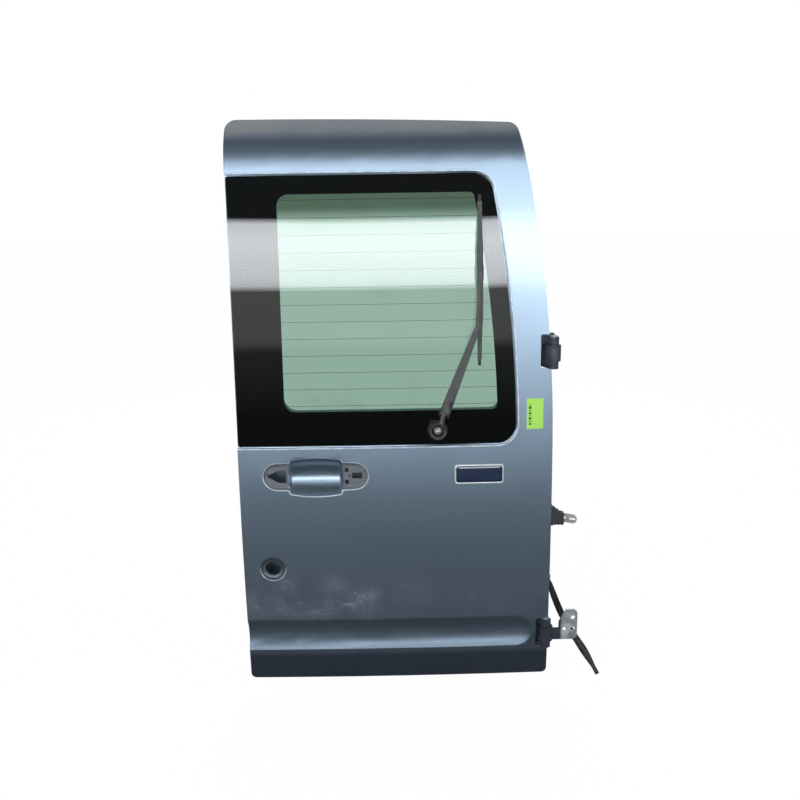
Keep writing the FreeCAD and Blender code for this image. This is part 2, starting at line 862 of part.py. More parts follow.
def check_boot():
    x0 = check_wall_x + seam_gap
    root = strap_block(-past, boot_root, boot_root_wall)
    sleeve = strap_block(-past, boot_length, boot_sleeve_wall)
    flange = block(x0, x0 + boot_flange, check_point.y - boot_flange_half, check_point.y + boot_flange_half,
                   check_z - boot_flange_rise, check_z + boot_flange_rise)
    outside = block(x0, x0 + past, front_y, front_y + prism_depth, check_z - past, check_z + past)
    boot = fused([root.common(outside), sleeve.common(outside), flange])
    return boot.cut(strap_block(-past, past, strap_play))


def strap_slot():
    return block(check_wall_x - 2 * boot_flange, check_wall_x + boot_flange, check_point.y - wall_slot_half,
                 check_point.y + wall_slot_half, check_z - wall_slot_rise, check_z + wall_slot_rise)


# Wiring loom: it leaves the hinge-side wall through a rubber elbow and hangs free

loom_route = [(-44, 66, 86), (-36, 74, 66), (-26, 86, 37), (-14, 90, 5), (0, 90, -28), (17, 86, -59),
              (36, 78, -88), (54, 68, -115), (69, 57, -140), (80, 48, -160)]
loom_points = [Vector(*point) for point in loom_route]
loom_start = loom_points[0]
loom_heading = (loom_points[1] - loom_points[0]).normalize()


def rounded_path(points):
    edges, radii = [], []
    last = points[0]
    for before, corner, after in zip(points, points[1:], points[2:]):
        u = (before - corner).normalize()
        v = (after - corner).normalize()
        turn = math.pi - u.getAngle(v)
        cut = 0.45 * min((before - corner).Length, (after - corner).Length)
        radius = cut / math.tan(turn / 2)
        start, end = corner + u * cut, corner + v * cut
        inward = (u + v).normalize()
        middle = corner + inward * (radius / math.cos(turn / 2) - radius)
        edges += [segment(last, start), arc(start, middle, end)]
        radii.append(round(radius, 1))
        last = end
    edges.append(segment(last, points[-1]))
    return Part.Wire(edges), radii


def swept(path, start, heading, radius):
    ring = Part.Wire(Part.makeCircle(radius, start, heading))
    return path.makePipeShell([ring], True, False)


def harness_loom():
    path, radii = rounded_path(loom_points)
    tube = swept(path, loom_start, loom_heading, loom_diameter / 2)
    expected = math.pi * (loom_diameter / 2) ** 2 * path.Length
    print("loom bend radii", radii, "length", round(path.Length, 1), "volume ratio", round(tube.Volume / expected, 4))
    return tube


def elbow_path():
    turn = Vector(1, 0, 0).getAngle(loom_heading)
    across = Vector(0, loom_heading.y, loom_heading.z).normalize()
    outward = Vector(1, 0, 0)
    begin = loom_start - outward * (loom_elbow * math.sin(turn)) - across * (loom_elbow * (1 - math.cos(turn)))
    half = turn / 2
    middle = begin + outward * (loom_elbow * math.sin(half)) + across * (loom_elbow * (1 - math.cos(half)))
    return begin, middle


def harness_grommet():
    begin, middle = elbow_path()
    radius = loom_diameter / 2 + grommet_wall
    root = Vector(right_x - wall_inset + seam_gap, begin.y, begin.z)
    path = Part.Wire([segment(root, begin), arc(begin, middle, loom_start)])
    elbow = swept(path, root, Vector(1, 0, 0), radius)
    flange = cylinder(radius + grommet_flange, grommet_flange_height, root, Vector(1, 0, 0))
    neck = cylinder(radius - grommet_groove, grommet_neck, root - Vector(grommet_neck, 0, 0), Vector(1, 0, 0))
    return fused([elbow, flange, neck])


def loom_hole():
    begin, middle = elbow_path()
    start = Vector(right_x - wall_inset - past / 4, begin.y, begin.z)
    return cylinder(loom_diameter / 2 + loom_hole_play, past / 2, start, Vector(1, 0, 0))


# Latch in the free edge

latch_z = bottom_z + handle_height - latch_drop
latch_x = left_x + wall_inset + sheet + seam_gap
latch_y = skin_point(latch_x, latch_z, latch_depth).y


def latch_block(start, end, half_depth, half_height):
    return block(latch_x + start, latch_x + end, latch_y - half_depth, latch_y + half_depth,
                 latch_z - half_height, latch_z + half_height)


def latch_slot():
    return latch_block(-mouth_depth / 2, mouth_depth / 4, striker_half_depth, striker_half_height)


def latch_case():
    case = rounded_block(latch_x, latch_x + latch_width, latch_y - latch_half_depth, latch_y + latch_half_depth,
                         latch_z - latch_half_height, latch_z + latch_half_height, latch_corner)
    return case.cut(latch_block(-mouth_depth, mouth_depth, mouth_half_depth, mouth_half_height))


def latch_claw():
    middle = Vector(latch_x + claw_side, latch_y - claw_thickness / 2, latch_z - claw_low)
    disc = cylinder(claw_radius, claw_thickness, middle, Vector(0, 1, 0))
    disc = disc.common(latch_block(claw_clearance, past, past, mouth_half_height - claw_clearance))
    throat = block(latch_x - past, latch_x + throat_depth, latch_y - past, latch_y + past,
                   latch_z - claw_low - throat_half, latch_z - claw_low + throat_half)
    pivot = cylinder(claw_pivot_radius, 2 * mouth_half_depth,
                     Vector(latch_x + claw_pivot_side, latch_y - mouth_half_depth, latch_z - claw_low), Vector(0, 1, 0))
    return fused([disc.cut(throat), pivot])


# Wiper in its own frame on the glass: u to the right, v up the glass, w outwards

wiper_base = skin_point(wiper_x, wiper_z, glass_recess)
wiper_side = math.asin((wiper_x - middle_x) / crown_radius)
wiper_tilt = rad(lean_angle)
wiper_out = Vector(math.sin(wiper_side) * math.cos(wiper_tilt), -math.cos(wiper_side) * math.cos(wiper_tilt),
                   math.sin(wiper_tilt))
wiper_right = Vector(math.cos(wiper_side), math.sin(wiper_side), 0)
wiper_up = wiper_out.cross(wiper_right)
wiper_frame = FreeCAD.Placement(FreeCAD.Matrix(wiper_right.x, wiper_up.x, wiper_out.x, wiper_base.x,
                                               wiper_right.y, wiper_up.y, wiper_out.y, wiper_base.y,
                                               wiper_right.z, wiper_up.z, wiper_out.z, wiper_base.z,
                                               0, 0, 0, 1))
up_w = Vector(0, 0, 1)
arm_heading = Vector(math.sin(rad(arm_angle)), math.cos(rad(arm_angle)), 0)
arm_across = Vector(math.cos(rad(arm_angle)), -math.sin(rad(arm_angle)), 0)
lift_pin_point = arm_heading * lift_pin_reach + up_w * lift_pin_level


def on_glass(shape):
    shape.Placement = wiper_frame.multiply(shape.Placement)
    return shape


def wiper_bore(radius):
    return on_glass(cylinder(radius, past, Vector(0, 0, -past / 2), up_w))


def along_arm(reach, across, level):
    return arm_heading * reach + arm_across * across + up_w * level


def section(reach, half, low, high):
    corners = [along_arm(reach, -half, low), along_arm(reach, half, low),
               along_arm(reach, half, high), along_arm(reach, -half, high)]
    return Part.makePolygon(corners + corners[:1])


def arm_block(start, end, half, low, high):
    return Part.makeLoft([section(start, half, low, high), section(end, half, low, high)], True, True)


def wiper_spindle():
    return on_glass(cylinder(spindle_radius, spindle_top + spindle_inner, Vector(0, 0, -spindle_inner), up_w))


def wiper_grommet():
    collar = cylinder(glass_hole + grommet_lip, grommet_collar, Vector(0, 0, frit_gap), up_w)
    depth = glass_thickness + 1 - grommet_play
    sleeve = cylinder(glass_hole - grommet_play, depth + grommet_play, Vector(0, 0, -depth), up_w)
    bore = cylinder(spindle_radius + clip_play, past, Vector(0, 0, -past / 2), up_w)
    return on_glass(fused([collar, sleeve]).cut(bore))


def wiper_head():
    outline = [(0, head_base), (head_radius, head_base), (head_radius, head_base + head_skirt),
               (head_radius - head_skirt, head_top), (0, head_top), (0, head_base)]
    bell = Part.Face(Part.makePolygon([Vector(u, 0, w) for u, w in outline])).revolve(Vector(0, 0, 0), up_w, 360)
    half = tongue_width / 2
    tongue = arm_block(0, lift_pin_reach, half, lift_pin_level - tongue_half, lift_pin_level + tongue_half)
    knuckle = cylinder(tongue_half, tongue_width, lift_pin_point - arm_across * half, arm_across)
    head = fused([bell, tongue, knuckle])
    well = cylinder(nut_flats / 2 + nut_well, past, Vector(0, 0, spindle_top - nut_height - nut_seat), up_w)
    bore = cylinder(spindle_radius + pin_clearance, past, Vector(0, 0, -past / 2), up_w)
    pin = cylinder(lift_pin_radius + pin_clearance, past, lift_pin_point - arm_across * (past / 2), arm_across)
    return on_glass(head.cut([well, bore, pin]))


def wiper_nut():
    corner = nut_flats / math.sqrt(3)
    low = spindle_top - nut_height - nut_seat
    points = [Vector(corner * math.cos(rad(60 * k)), corner * math.sin(rad(60 * k)), low) for k in range(6)]
    nut = Part.Face(Part.makePolygon(points + points[:1])).extrude(up_w * nut_height)
    washer = cylinder(nut_flats / 2 + washer_lip, nut_seat, Vector(0, 0, low), up_w)
    bore = cylinder(spindle_radius + pin_clearance, past, Vector(0, 0, -past / 2), up_w)
    return on_glass(fused([nut, washer]).cut(bore))


def wiper_lift_pin():
    half = arm_root_width / 2
    return on_glass(cylinder(lift_pin_radius, arm_root_width, lift_pin_point - arm_across * half, arm_across))


def arm_shell(wall, back, front, low):
    root, tip = arm_root_width / 2 - wall, arm_tip_width / 2 - wall
    top = arm_top - wall
    waist = lift_pin_reach + cheek_front
    return Part.makeLoft([section(back, root, low, top), section(waist, root, low, top),
                          section(front, tip, max(low, arm_top - arm_tip_height) if wall == 0 else low, top)],
                         True, True)


def wiper_arm():
    root, tip = arm_root_width / 2, arm_tip_width / 2
    back = lift_pin_reach - cheek_back
    shell = arm_shell(0, back, arm_bend_reach, lift_pin_level - cheek_half)
    hollow = arm_shell(arm_wall, back - cheek_back, arm_bend_reach - cheek_back, -past)
    bend = arm_heading * arm_bend_reach
    half = arm_strip_width / 2
    low = arm_top - arm_strip_thickness
    joint = cylinder(tip, arm_tip_height, Vector(bend.x, bend.y, arm_top - arm_tip_height), up_w)
    strip_points = [Vector(bend.x - half, bend.y, low), Vector(bend.x + half, bend.y, low),
                    Vector(blade_offset + half, clip_rise, low), Vector(blade_offset - half, clip_rise, low)]
    strip = Part.Face(Part.makePolygon(strip_points + strip_points[:1])).extrude(up_w * arm_strip_thickness)
    pin = cylinder(lift_pin_radius + pin_clearance, past, lift_pin_point - arm_across * (past / 2), arm_across)
    rear = arm_block(back - cheek_back, lift_pin_reach + cheek_half / 2, root - arm_wall, lift_pin_level, arm_top + 1)
    return on_glass(fused([shell.cut(hollow), joint, strip]).cut([pin, rear]))


def blade_block(low, high, half, base, top):
    return block(blade_offset - half, blade_offset + half, low, high, base, top)


def blade_section(rise, half, base, top):
    corners = [Vector(blade_offset - half, rise, base), Vector(blade_offset + half, rise, base),
               Vector(blade_offset + half, rise, top), Vector(blade_offset - half, rise, top)]
    return Part.makePolygon(corners + corners[:1])


def wiper_blade_rubber():
    low, high = blade_low, blade_low + blade_length
    lip = blade_block(low, high, lip_half, lip_gap, lip_gap + lip_height)
    back = blade_block(low, high, rubber_half, lip_gap + lip_height - lip_half, rubber_top)
    return on_glass(fused([lip, back]))


def wiper_blade_yokes():
    top = yoke_level + yoke_height
    reach = blade_length * yoke_share
    solids = []
    for share in (0.25, 0.75):
        middle = blade_low + blade_length * share
        rises = [middle - reach, middle, middle + reach]
        heights = [top - yoke_height / 3, top, top - yoke_height / 3]
        beam = Part.makeLoft([blade_section(rise, yoke_half, yoke_level, height)
                              for rise, height in zip(rises, heights)], True, True)
        pieces = [beam]
        for low in (middle - reach, middle + reach - claw_length):
            claw = blade_block(low, low + claw_length, yoke_half, yoke_level - claw_drop, yoke_level)
            pieces.append(claw.cut(blade_block(low - 1, low + claw_length + 1, yoke_half - claw_wall,
                                               yoke_level - claw_drop, yoke_level)))
        solids.append(fused(pieces))
    return on_glass(Part.makeCompound(solids))


def wiper_blade_bridge():
    half, end_half = blade_width / 2, blade_end_width / 2
    centre = blade_low + blade_length / 2
    reach = blade_length * bridge_share
    rises = [centre - reach, centre - reach / 2, centre + reach / 2, centre + reach]
    shapes = [(end_half, bridge_end_height), (half, bridge_height), (half, bridge_height), (end_half, bridge_end_height)]
    bridge = Part.makeLoft([blade_section(rise, wide, bridge_level, bridge_level + height)
                            for rise, (wide, height) in zip(rises, shapes)], True, True)
    clip = blade_block(clip_rise - clip_half, clip_rise + clip_half, half, bridge_level, arm_top + bracket_sheet)
    strip = block(blade_offset - half - 1, blade_offset + half + 1, clip_rise - past, clip_rise + clip_play,
                  arm_top - arm_strip_thickness - clip_play, arm_top + clip_play)
    return on_glass(fused([bridge, clip]).cut(strip))


def wiper_bracket():
    back = glass_recess - upper_depth + bracket_play
    plate = block(-bracket_left, bracket_right, -bracket_low, bracket_high, back, back + bracket_sheet)
    sides = (bracket_bolt_inset - bracket_left, bracket_right - bracket_bolt_inset)
    bolts = [cylinder(bracket_bolt_radius, past, Vector(u, bracket_bolt_level, back - past / 2), up_w) for u in sides]
    return on_glass(plate.cut(bolts))


def wiper_motor():
    low = glass_recess - upper_depth + bracket_play + motor_play + bracket_sheet
    gearbox = cylinder(gearbox_radius, gearbox_height, Vector(0, 0, low), up_w)
    can_level = low + can_radius + motor_play
    can = cylinder(can_radius, can_length, Vector(-can_start, -can_low, can_level), Vector(-1, 0, 0))
    bore = cylinder(spindle_radius + pin_clearance, past, Vector(0, 0, low + shaft_seat), up_w)
    return on_glass(fused([gearbox, can]).cut(bore))


save("outer_panel", outer_panel())
save("handle_recess", handle_recess())
save("lock_cup", lock_cup())
save("inner_panel", inner_panel())
save("window_frame", window_frame())
save("window_tunnel", window_tunnel())
save("inner_wall", inner_wall())
save("hem_flange", hem_flange())
save("window_glass", window_glass())
save("frit_border", frit_border())
save("glass_bead", glass_bead())
for hinge_name, hinge_z in (("lower", lower_hinge_z), ("upper", upper_hinge_z)):
    save(hinge_name + "_hinge_bracket", hinge_bracket(hinge_z))
    save(hinge_name + "_hinge_pin", hinge_pin(hinge_z))
save("lower_hinge_leaf", hinge_leaf(lower_hinge_z, leaf_rise))
closed_leaf = hinge_leaf(upper_hinge_z, upper_leaf_rise)
closed_leaf.rotate(Vector(axis_x, axis_y, 0), Vector(0, 0, 1), 90)
save("upper_hinge_leaf", closed_leaf)
save("check_strap", check_strap())
save("check_box", check_box())
save("check_boot", check_boot())
save("harness_grommet", harness_grommet())
save("harness_loom", harness_loom())
save("latch_case", latch_case())
save("latch_claw", latch_claw())
save("wiper_motor", wiper_motor())
save("wiper_bracket", wiper_bracket())
save("wiper_spindle", wiper_spindle())
save("wiper_grommet", wiper_grommet())
save("wiper_head", wiper_head())
save("wiper_nut", wiper_nut())
save("wiper_lift_pin", wiper_lift_pin())
save("wiper_arm", wiper_arm())
save("wiper_blade_rubber", wiper_blade_rubber())
save("wiper_blade_yokes", wiper_blade_yokes())
save("wiper_blade_bridge", wiper_blade_bridge())
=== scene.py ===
import json
import math
import bmesh
import bpy
from mathutils import Matrix, Vector
from mathutils.bvhtree import BVHTree


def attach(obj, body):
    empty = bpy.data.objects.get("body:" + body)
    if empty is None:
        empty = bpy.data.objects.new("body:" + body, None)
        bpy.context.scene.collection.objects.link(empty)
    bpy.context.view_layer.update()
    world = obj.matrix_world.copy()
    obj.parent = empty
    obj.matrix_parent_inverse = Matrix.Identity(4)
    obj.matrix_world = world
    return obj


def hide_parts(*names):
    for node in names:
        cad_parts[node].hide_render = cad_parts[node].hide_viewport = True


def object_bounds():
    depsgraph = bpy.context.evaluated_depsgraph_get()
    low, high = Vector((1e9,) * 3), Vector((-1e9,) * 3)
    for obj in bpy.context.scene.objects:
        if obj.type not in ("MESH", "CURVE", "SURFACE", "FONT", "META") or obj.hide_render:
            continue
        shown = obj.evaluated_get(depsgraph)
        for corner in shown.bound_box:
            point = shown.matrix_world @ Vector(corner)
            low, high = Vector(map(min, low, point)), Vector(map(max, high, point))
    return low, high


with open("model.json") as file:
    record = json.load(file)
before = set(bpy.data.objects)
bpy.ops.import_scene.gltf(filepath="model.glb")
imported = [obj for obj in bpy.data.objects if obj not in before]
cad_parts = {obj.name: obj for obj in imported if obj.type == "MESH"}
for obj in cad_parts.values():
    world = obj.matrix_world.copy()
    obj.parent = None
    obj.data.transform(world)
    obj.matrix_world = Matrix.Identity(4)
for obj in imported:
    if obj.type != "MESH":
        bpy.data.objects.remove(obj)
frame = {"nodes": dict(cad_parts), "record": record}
cadLow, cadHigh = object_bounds()
scene = bpy.context.scene
scene.view_settings.view_transform = "Standard"
print("frame loaded:", len(frame["nodes"]), "nodes")

# camera: stands before the door's middle, just under the window's top, and looks down a little
cameraSet = {
    "place": (-0.3975, -1.7656, 0.9696),
    "pan": 0.484,
    "tilt": 13.84,
    "roll": -0.88,
    "focalPixels": 850.0,
    "framePixels": 800.0,
    "sensor": 36.0,
}


def makeCamera(spec):
    data = bpy.data.cameras.new("doorCamera")
    data.sensor_width = spec["sensor"]
    data.lens = spec["focalPixels"] * spec["sensor"] / spec["framePixels"]
    camera = bpy.data.objects.new("doorCamera", data)
    turn = Matrix.Rotation(math.radians(-spec["pan"]), 4, "Z")
    look = Matrix.Rotation(math.radians(90 - spec["tilt"]), 4, "X")
    tip = Matrix.Rotation(math.radians(spec["roll"]), 4, "Z")
    camera.matrix_world = Matrix.Translation(spec["place"]) @ turn @ look @ tip
    scene.collection.objects.link(camera)
    scene.camera = camera


makeCamera(cameraSet)
print("camera placed")


# shader maths: a wire carries one socket, and operators on it add Math nodes
class Wire:
    def __init__(self, finish, socket):
        self.finish = finish
        self.socket = socket

    def combine(self, operation, first, second):
        return self.finish.add("ShaderNodeMath", {"operation": operation}, {0: first, 1: second})

    def __add__(self, other):
        return self.combine("ADD", self, other)

    def __radd__(self, other):
        return self.combine("ADD", other, self)

    def __sub__(self, other):
        return self.combine("SUBTRACT", self, other)

    def __rsub__(self, other):
        return self.combine("SUBTRACT", other, self)

    def __mul__(self, other):
        return self.combine("MULTIPLY", self, other)

    def __rmul__(self, other):
        return self.combine("MULTIPLY", other, self)

    def __truediv__(self, other):
        return self.combine("DIVIDE", self, other)

    def __rtruediv__(self, other):
        return self.combine("DIVIDE", other, self)

    def most(self, other):
        return self.combine("MAXIMUM", self, other)


class Finish:
    def __init__(self, name, world=None):
        self.owner = world or bpy.data.materials.new(name)
        self.owner.use_nodes = True
        self.tree = self.owner.node_tree
        self.tree.nodes.clear()

    # one method makes every node: its type, its settings, then its sockets' values or links
    def add(self, kind, settings=None, sockets=None, out=0):
        node = self.tree.nodes.new(kind)
        for key, value in (settings or {}).items():
            if key == "stops":
                self.setStops(node.color_ramp, value)
            else:
                setattr(node, key, value)
        for key, value in (sockets or {}).items():
            socket = node.inputs[key] if isinstance(key, int) else self.socketNamed(node, key)
            if isinstance(value, Wire):
                self.tree.links.new(value.socket, socket)
            else:
                socket.default_value = value
        outputs = [socket for socket in node.outputs if socket.enabled]
        return Wire(self, outputs[out]) if outputs else None

    def socketNamed(self, node, name):
        return next(socket for socket in node.inputs if socket.enabled and socket.name == name)

    def setStops(self, ramp, stops):
        while len(ramp.elements) < len(stops):
            ramp.elements.new(1.0)
        for element, (place, tone) in zip(ramp.elements, stops):
            element.position = place
            element.color = (*tone, 1.0)

    # object coordinates, stretched by scale
    def place(self, scale=(1, 1, 1)):
        source = self.add("ShaderNodeTexCoord", out=3)
        return self.add("ShaderNodeMapping", None, {"Vector": source, "Scale": scale})

    def axis(self, index):
        source = self.add("ShaderNodeTexCoord", out=3)
        return self.add("ShaderNodeSeparateXYZ", None, {"Vector": source}, out=index)

    def noise(self, scale, detail=3.0, roughness=0.55, stretch=(1, 1, 1)):
        return self.add("ShaderNodeTexNoise", None, {
            "Vector": self.place(stretch), "Scale": scale, "Detail": detail, "Roughness": roughness})

    # a grey of its own for every cell of a fine mosaic
    def mosaic(self, scale):
        cell = self.add("ShaderNodeTexVoronoi", None, {"Vector": self.place(), "Scale": scale}, out=1)
        return self.add("ShaderNodeSeparateColor", None, {"Color": cell})

    def ramp(self, value, low, high):
        return self.add("ShaderNodeMapRange", {"interpolation_type": "SMOOTHSTEP"}, {
            "Value": value, "From Min": low, "From Max": high})

    # 1 between low and high, fading out over the blur on both sides
    def between(self, value, low, high, blur):
        return self.ramp(value, low - blur, low + blur) * (1 - self.ramp(value, high - blur, high + blur))

    def blend(self, share, first, second):
        return self.add("ShaderNodeMix", {"data_type": "RGBA"}, {
            "Factor": share, "A": self.tone(first), "B": self.tone(second)})

    def tone(self, value):
        return value if isinstance(value, Wire) else (*value, 1.0)

    def bump(self, height, depth, strength=1.0):
        return self.add("ShaderNodeBump", None, {"Height": height, "Distance": depth, "Strength": strength})

    def surface(self, **sockets):
        shader = self.add("ShaderNodeBsdfPrincipled", None, {
            principledNames[key]: self.tone(value) if key == "base" else value
            for key, value in sockets.items()})
        self.add("ShaderNodeOutputMaterial", None, {"Surface": shader})
        return self.owner


principledNames = {
    "base": "Base Color", "rough": "Roughness", "metal": "Metallic", "coat": "Coat Weight",
    "coatRough": "Coat Roughness", "normal": "Normal", "ior": "IOR", "clear": "Transmission Weight",
    "specular": "Specular IOR Level",
}

paintSet = {
    "tone": (0.212, 0.276, 0.348),
    "deep": (0.142, 0.190, 0.246),
    # painted shade: the skirt tone darkens the bottom of the panel
    "skirtShade": (0.060, 0.078, 0.112),
    "skirtShadeZ": (-0.078, -0.056),
    # painted shade: the ledge tone darkens the groove's downward-facing ledge
    "ledge": (0.085, 0.112, 0.140),
    "ledgeZ": (-0.060, -0.026),
    "dust": (0.215, 0.212, 0.205),
    "roofZ": (1.070, 1.102),
    "haze": (0.300, 0.305, 0.345),
    "speck": (0.50, 0.52, 0.56),
    "scuffX": (-0.50, -0.34),
    "scuffZ": (0.040, 0.112),
    "metal": 0.86,
    "rough": 0.31,
    "coat": 0.50,
    "coatRough": 0.08,
    "padMiddle": -0.570,
    "padReach": 0.0600,
    "padTone": (0.095, 0.097, 0.100),
    "flakeScale": 900.0,
    "cloudScale": 3.2,
    "filmScale": 16.0,
    "gritScale": 260.0,
    "scratchScale": 170.0,
    "dustScale": 15.0,
    "grimeScale": 140.0,
    "peelScale": 420.0,
    "peelDepth": 0.00004,
    "scuffBlur": 0.045,
    "ledgeBlur": 0.008,
}


# metallic coat with a dusty top roll, fine pale scuffs over the groove, a dull ledge in it painted darker
# as painted shade, and a skirt painted darker as painted shade; pads marks the bare ends of the handle recess
def bodyPaint(name, spec, pads=False):
    paint = Finish(name)
    across, up = paint.axis(0), paint.axis(2)
    flake = paint.mosaic(spec["flakeScale"])
    cloud = paint.noise(spec["cloudScale"], 4.0)
    zone = paint.between(up, *spec["scuffZ"], spec["scuffBlur"])
    zone = zone * (1 - 0.65 * paint.ramp(across, *spec["scuffX"]))
    film = zone * paint.ramp(paint.noise(spec["filmScale"], 6.0, 0.68), 0.40, 0.64)
    grit = paint.ramp(paint.noise(spec["gritScale"], 3.0, 0.6, (0.6, 1.0, 1.0)), 0.58, 0.66)
    scratch = paint.ramp(paint.noise(spec["scratchScale"], 4.0, 0.6, (0.12, 1.0, 1.0)), 0.60, 0.67)
    scuff = film * grit.most(0.8 * scratch)
    dust = paint.ramp(paint.noise(spec["dustScale"], 6.0, 0.7), 0.35, 0.65)
    roof = paint.ramp(up, *spec["roofZ"]) * (0.60 + 0.40 * dust)
    skirtShade = 1 - paint.ramp(up, *spec["skirtShadeZ"])
    base = paint.blend(0.08 + 0.16 * flake, spec["tone"], spec["deep"])
    base = paint.blend(0.22 * paint.ramp(cloud, 0.35, 0.75), base, spec["deep"])
    # painted shade: the bottom skirt is blended towards a darker tone
    base = paint.blend(0.80 * skirtShade, base, spec["skirtShade"])
    # painted shade: the groove's ledge is blended towards a darker tone; it is also made rougher and less
    # coated
    ledge = paint.between(up, *spec["ledgeZ"], spec["ledgeBlur"])
    base = paint.blend(0.75 * ledge, base, spec["ledge"])
    base = paint.blend(film * 0.40, base, spec["haze"])
    base = paint.blend(scuff * 0.75, base, spec["speck"])
    base = paint.blend(roof * 0.85, base, spec["dust"])
    rough = spec["rough"] + 0.06 * (cloud - 0.5) + 0.06 * film + 0.08 * ledge + 0.20 * scuff.most(roof)
    metal = spec["metal"] - 0.12 * film - 0.50 * scuff.most(roof)
    coat = spec["coat"] - 0.40 * scuff.most(roof).most(ledge)
    if pads:
        offset = across - spec["padMiddle"]
        bare = paint.ramp(offset.most(0 - offset), spec["padReach"] - 0.002, spec["padReach"] + 0.001)
        grime = paint.noise(spec["grimeScale"], 5.0)
        base = paint.blend(bare * (0.65 + 0.35 * grime), base, spec["padTone"])
        rough = rough + (0.14 + 0.10 * grime) * bare
        metal = metal - 0.55 * bare
        coat = coat - 0.45 * bare
    peel = paint.noise(spec["peelScale"], 2.0, 0.5)
    return paint.surface(base=base, rough=rough, metal=metal, coat=coat, coatRough=spec["coatRough"],
                         normal=paint.bump(peel, spec["peelDepth"], 0.35))


# the lock's pressed cup is duller than the skin around it; its darker tones are painted shade in the recess
shadedCupSet = {"tone": (0.115, 0.142, 0.172), "deep": (0.080, 0.100, 0.122), "rough": 0.42, "coat": 0.15}

innerSet = {
    "tone": (0.205, 0.262, 0.322), "dust": (0.27, 0.28, 0.28), "sillZ": (-0.10, 0.10),
    "metal": 0.55, "rough": 0.46, "coat": 0.25,
}


def innerPaint(spec):
    paint = Finish("innerPaint")
    speck = paint.ramp(paint.noise(160.0, 3.0), 0.60, 0.72)
    film = paint.ramp(paint.noise(6.0, 5.0), 0.40, 0.72) * 0.40
    film = film + 0.25 * (1 - paint.ramp(paint.axis(2), *spec["sillZ"]))
    base = paint.blend(film, spec["tone"], spec["dust"])
    base = paint.blend(speck * 0.18, base, spec["dust"])
    rough = spec["rough"] + 0.22 * film + 0.08 * speck
    return paint.surface(base=base, rough=rough, metal=spec["metal"] - 0.30 * film, coat=spec["coat"],
                         normal=paint.bump(paint.noise(300.0, 2.0), 0.00005, 0.4))


glassSet = {"tint": (0.270, 0.425, 0.342), "grime": (0.205, 0.275, 0.215), "grimeZ": (0.47, 0.62),
            "ior": 1.5, "rough": 0.001, "smearRough": 0.002}


def tintedGlass(spec):
    glass = Finish("tintedGlass")
    smear = glass.ramp(glass.noise(9.0, 3.0, 0.5), 0.50, 0.80)
    splash = glass.ramp(glass.noise(55.0, 5.0, 0.65), 0.56, 0.70)
    splash = splash * (1 - glass.ramp(glass.axis(2), *spec["grimeZ"]))
    tint = glass.blend(0.20 * smear + 0.55 * splash, spec["tint"], spec["grime"])
    return glass.surface(base=tint, rough=spec["rough"] + spec["smearRough"] * smear, clear=1.0,
                         ior=spec["ior"])


fritSet = {"tone": (0.003, 0.0035, 0.0045), "speck": (0.008, 0.009, 0.011), "rough": 0.30, "specular": 0.05}


def firedBorder(spec):
    border = Finish("firedBorder")
    speck = border.ramp(border.noise(240.0, 2.0), 0.55, 0.75)
    base = border.blend(speck * 0.4, spec["tone"], spec["speck"])
    return border.surface(base=base, rough=spec["rough"] + 0.10 * speck, specular=spec["specular"])


# dark coated or moulded finishes share one recipe with their own tones
darkSet = {
    "hingeBlack": {"tone": (0.024, 0.031, 0.042), "wornAndGlint": (0.13, 0.15, 0.18), "metal": 0.35, "rough": 0.40,
                   "grain": 220.0, "wear": 0.62},
    "mouldedPlastic": {"tone": (0.022, 0.022, 0.024), "wornAndGlint": (0.060, 0.060, 0.062), "metal": 0.0,
                       "rough": 0.52, "grain": 900.0, "wear": 0.58},
    "mouldedRubber": {"tone": (0.014, 0.014, 0.015), "wornAndGlint": (0.050, 0.050, 0.048), "metal": 0.0,
                      "rough": 0.72, "grain": 500.0, "wear": 0.55},
    "bondBead": {"tone": (0.010, 0.010, 0.011), "wornAndGlint": (0.028, 0.028, 0.028), "metal": 0.0,
                 "rough": 0.60, "grain": 260.0, "wear": 0.60},
    "wiperCoat": {"tone": (0.020, 0.020, 0.022), "wornAndGlint": (0.105, 0.105, 0.108), "metal": 0.10,
                  "rough": 0.44, "grain": 380.0, "wear": 0.57},
}


def darkFinish(name):
    spec = darkSet[name]
    dark = Finish(name)
    patch = dark.ramp(dark.noise(18.0, 5.0, 0.62), spec["wear"] - 0.10, spec["wear"] + 0.16)
    grain = dark.noise(spec["grain"], 3.0)
    base = dark.blend(patch * 0.55, spec["tone"], spec["wornAndGlint"])
    base = dark.blend(0.25 * grain, base, spec["wornAndGlint"])
    rough = spec["rough"] + 0.16 * patch + 0.10 * (grain - 0.5)
    return dark.surface(base=base, rough=rough, metal=spec["metal"], normal=dark.bump(grain, 0.00006, 0.6))


# plated and cast metals; knuckleX is where a leaf's dark painted knuckle ends and its bare plate begins
metalSet = {
    "zincPlate": {"tone": (0.52, 0.53, 0.52), "stain": (0.22, 0.20, 0.165), "rough": 0.36, "spangle": 130.0},
    "castAlloy": {"tone": (0.40, 0.40, 0.41), "stain": (0.17, 0.165, 0.16), "rough": 0.48, "spangle": 420.0},
    "leafPlate": {"tone": (0.60, 0.62, 0.63), "stain": (0.30, 0.29, 0.26), "rough": 0.40, "spangle": 130.0,
                  "knuckleX": (-0.024, -0.016), "knuckle": (0.030, 0.038, 0.050)},
}
spangleTone = (0.62, 0.62, 0.60)


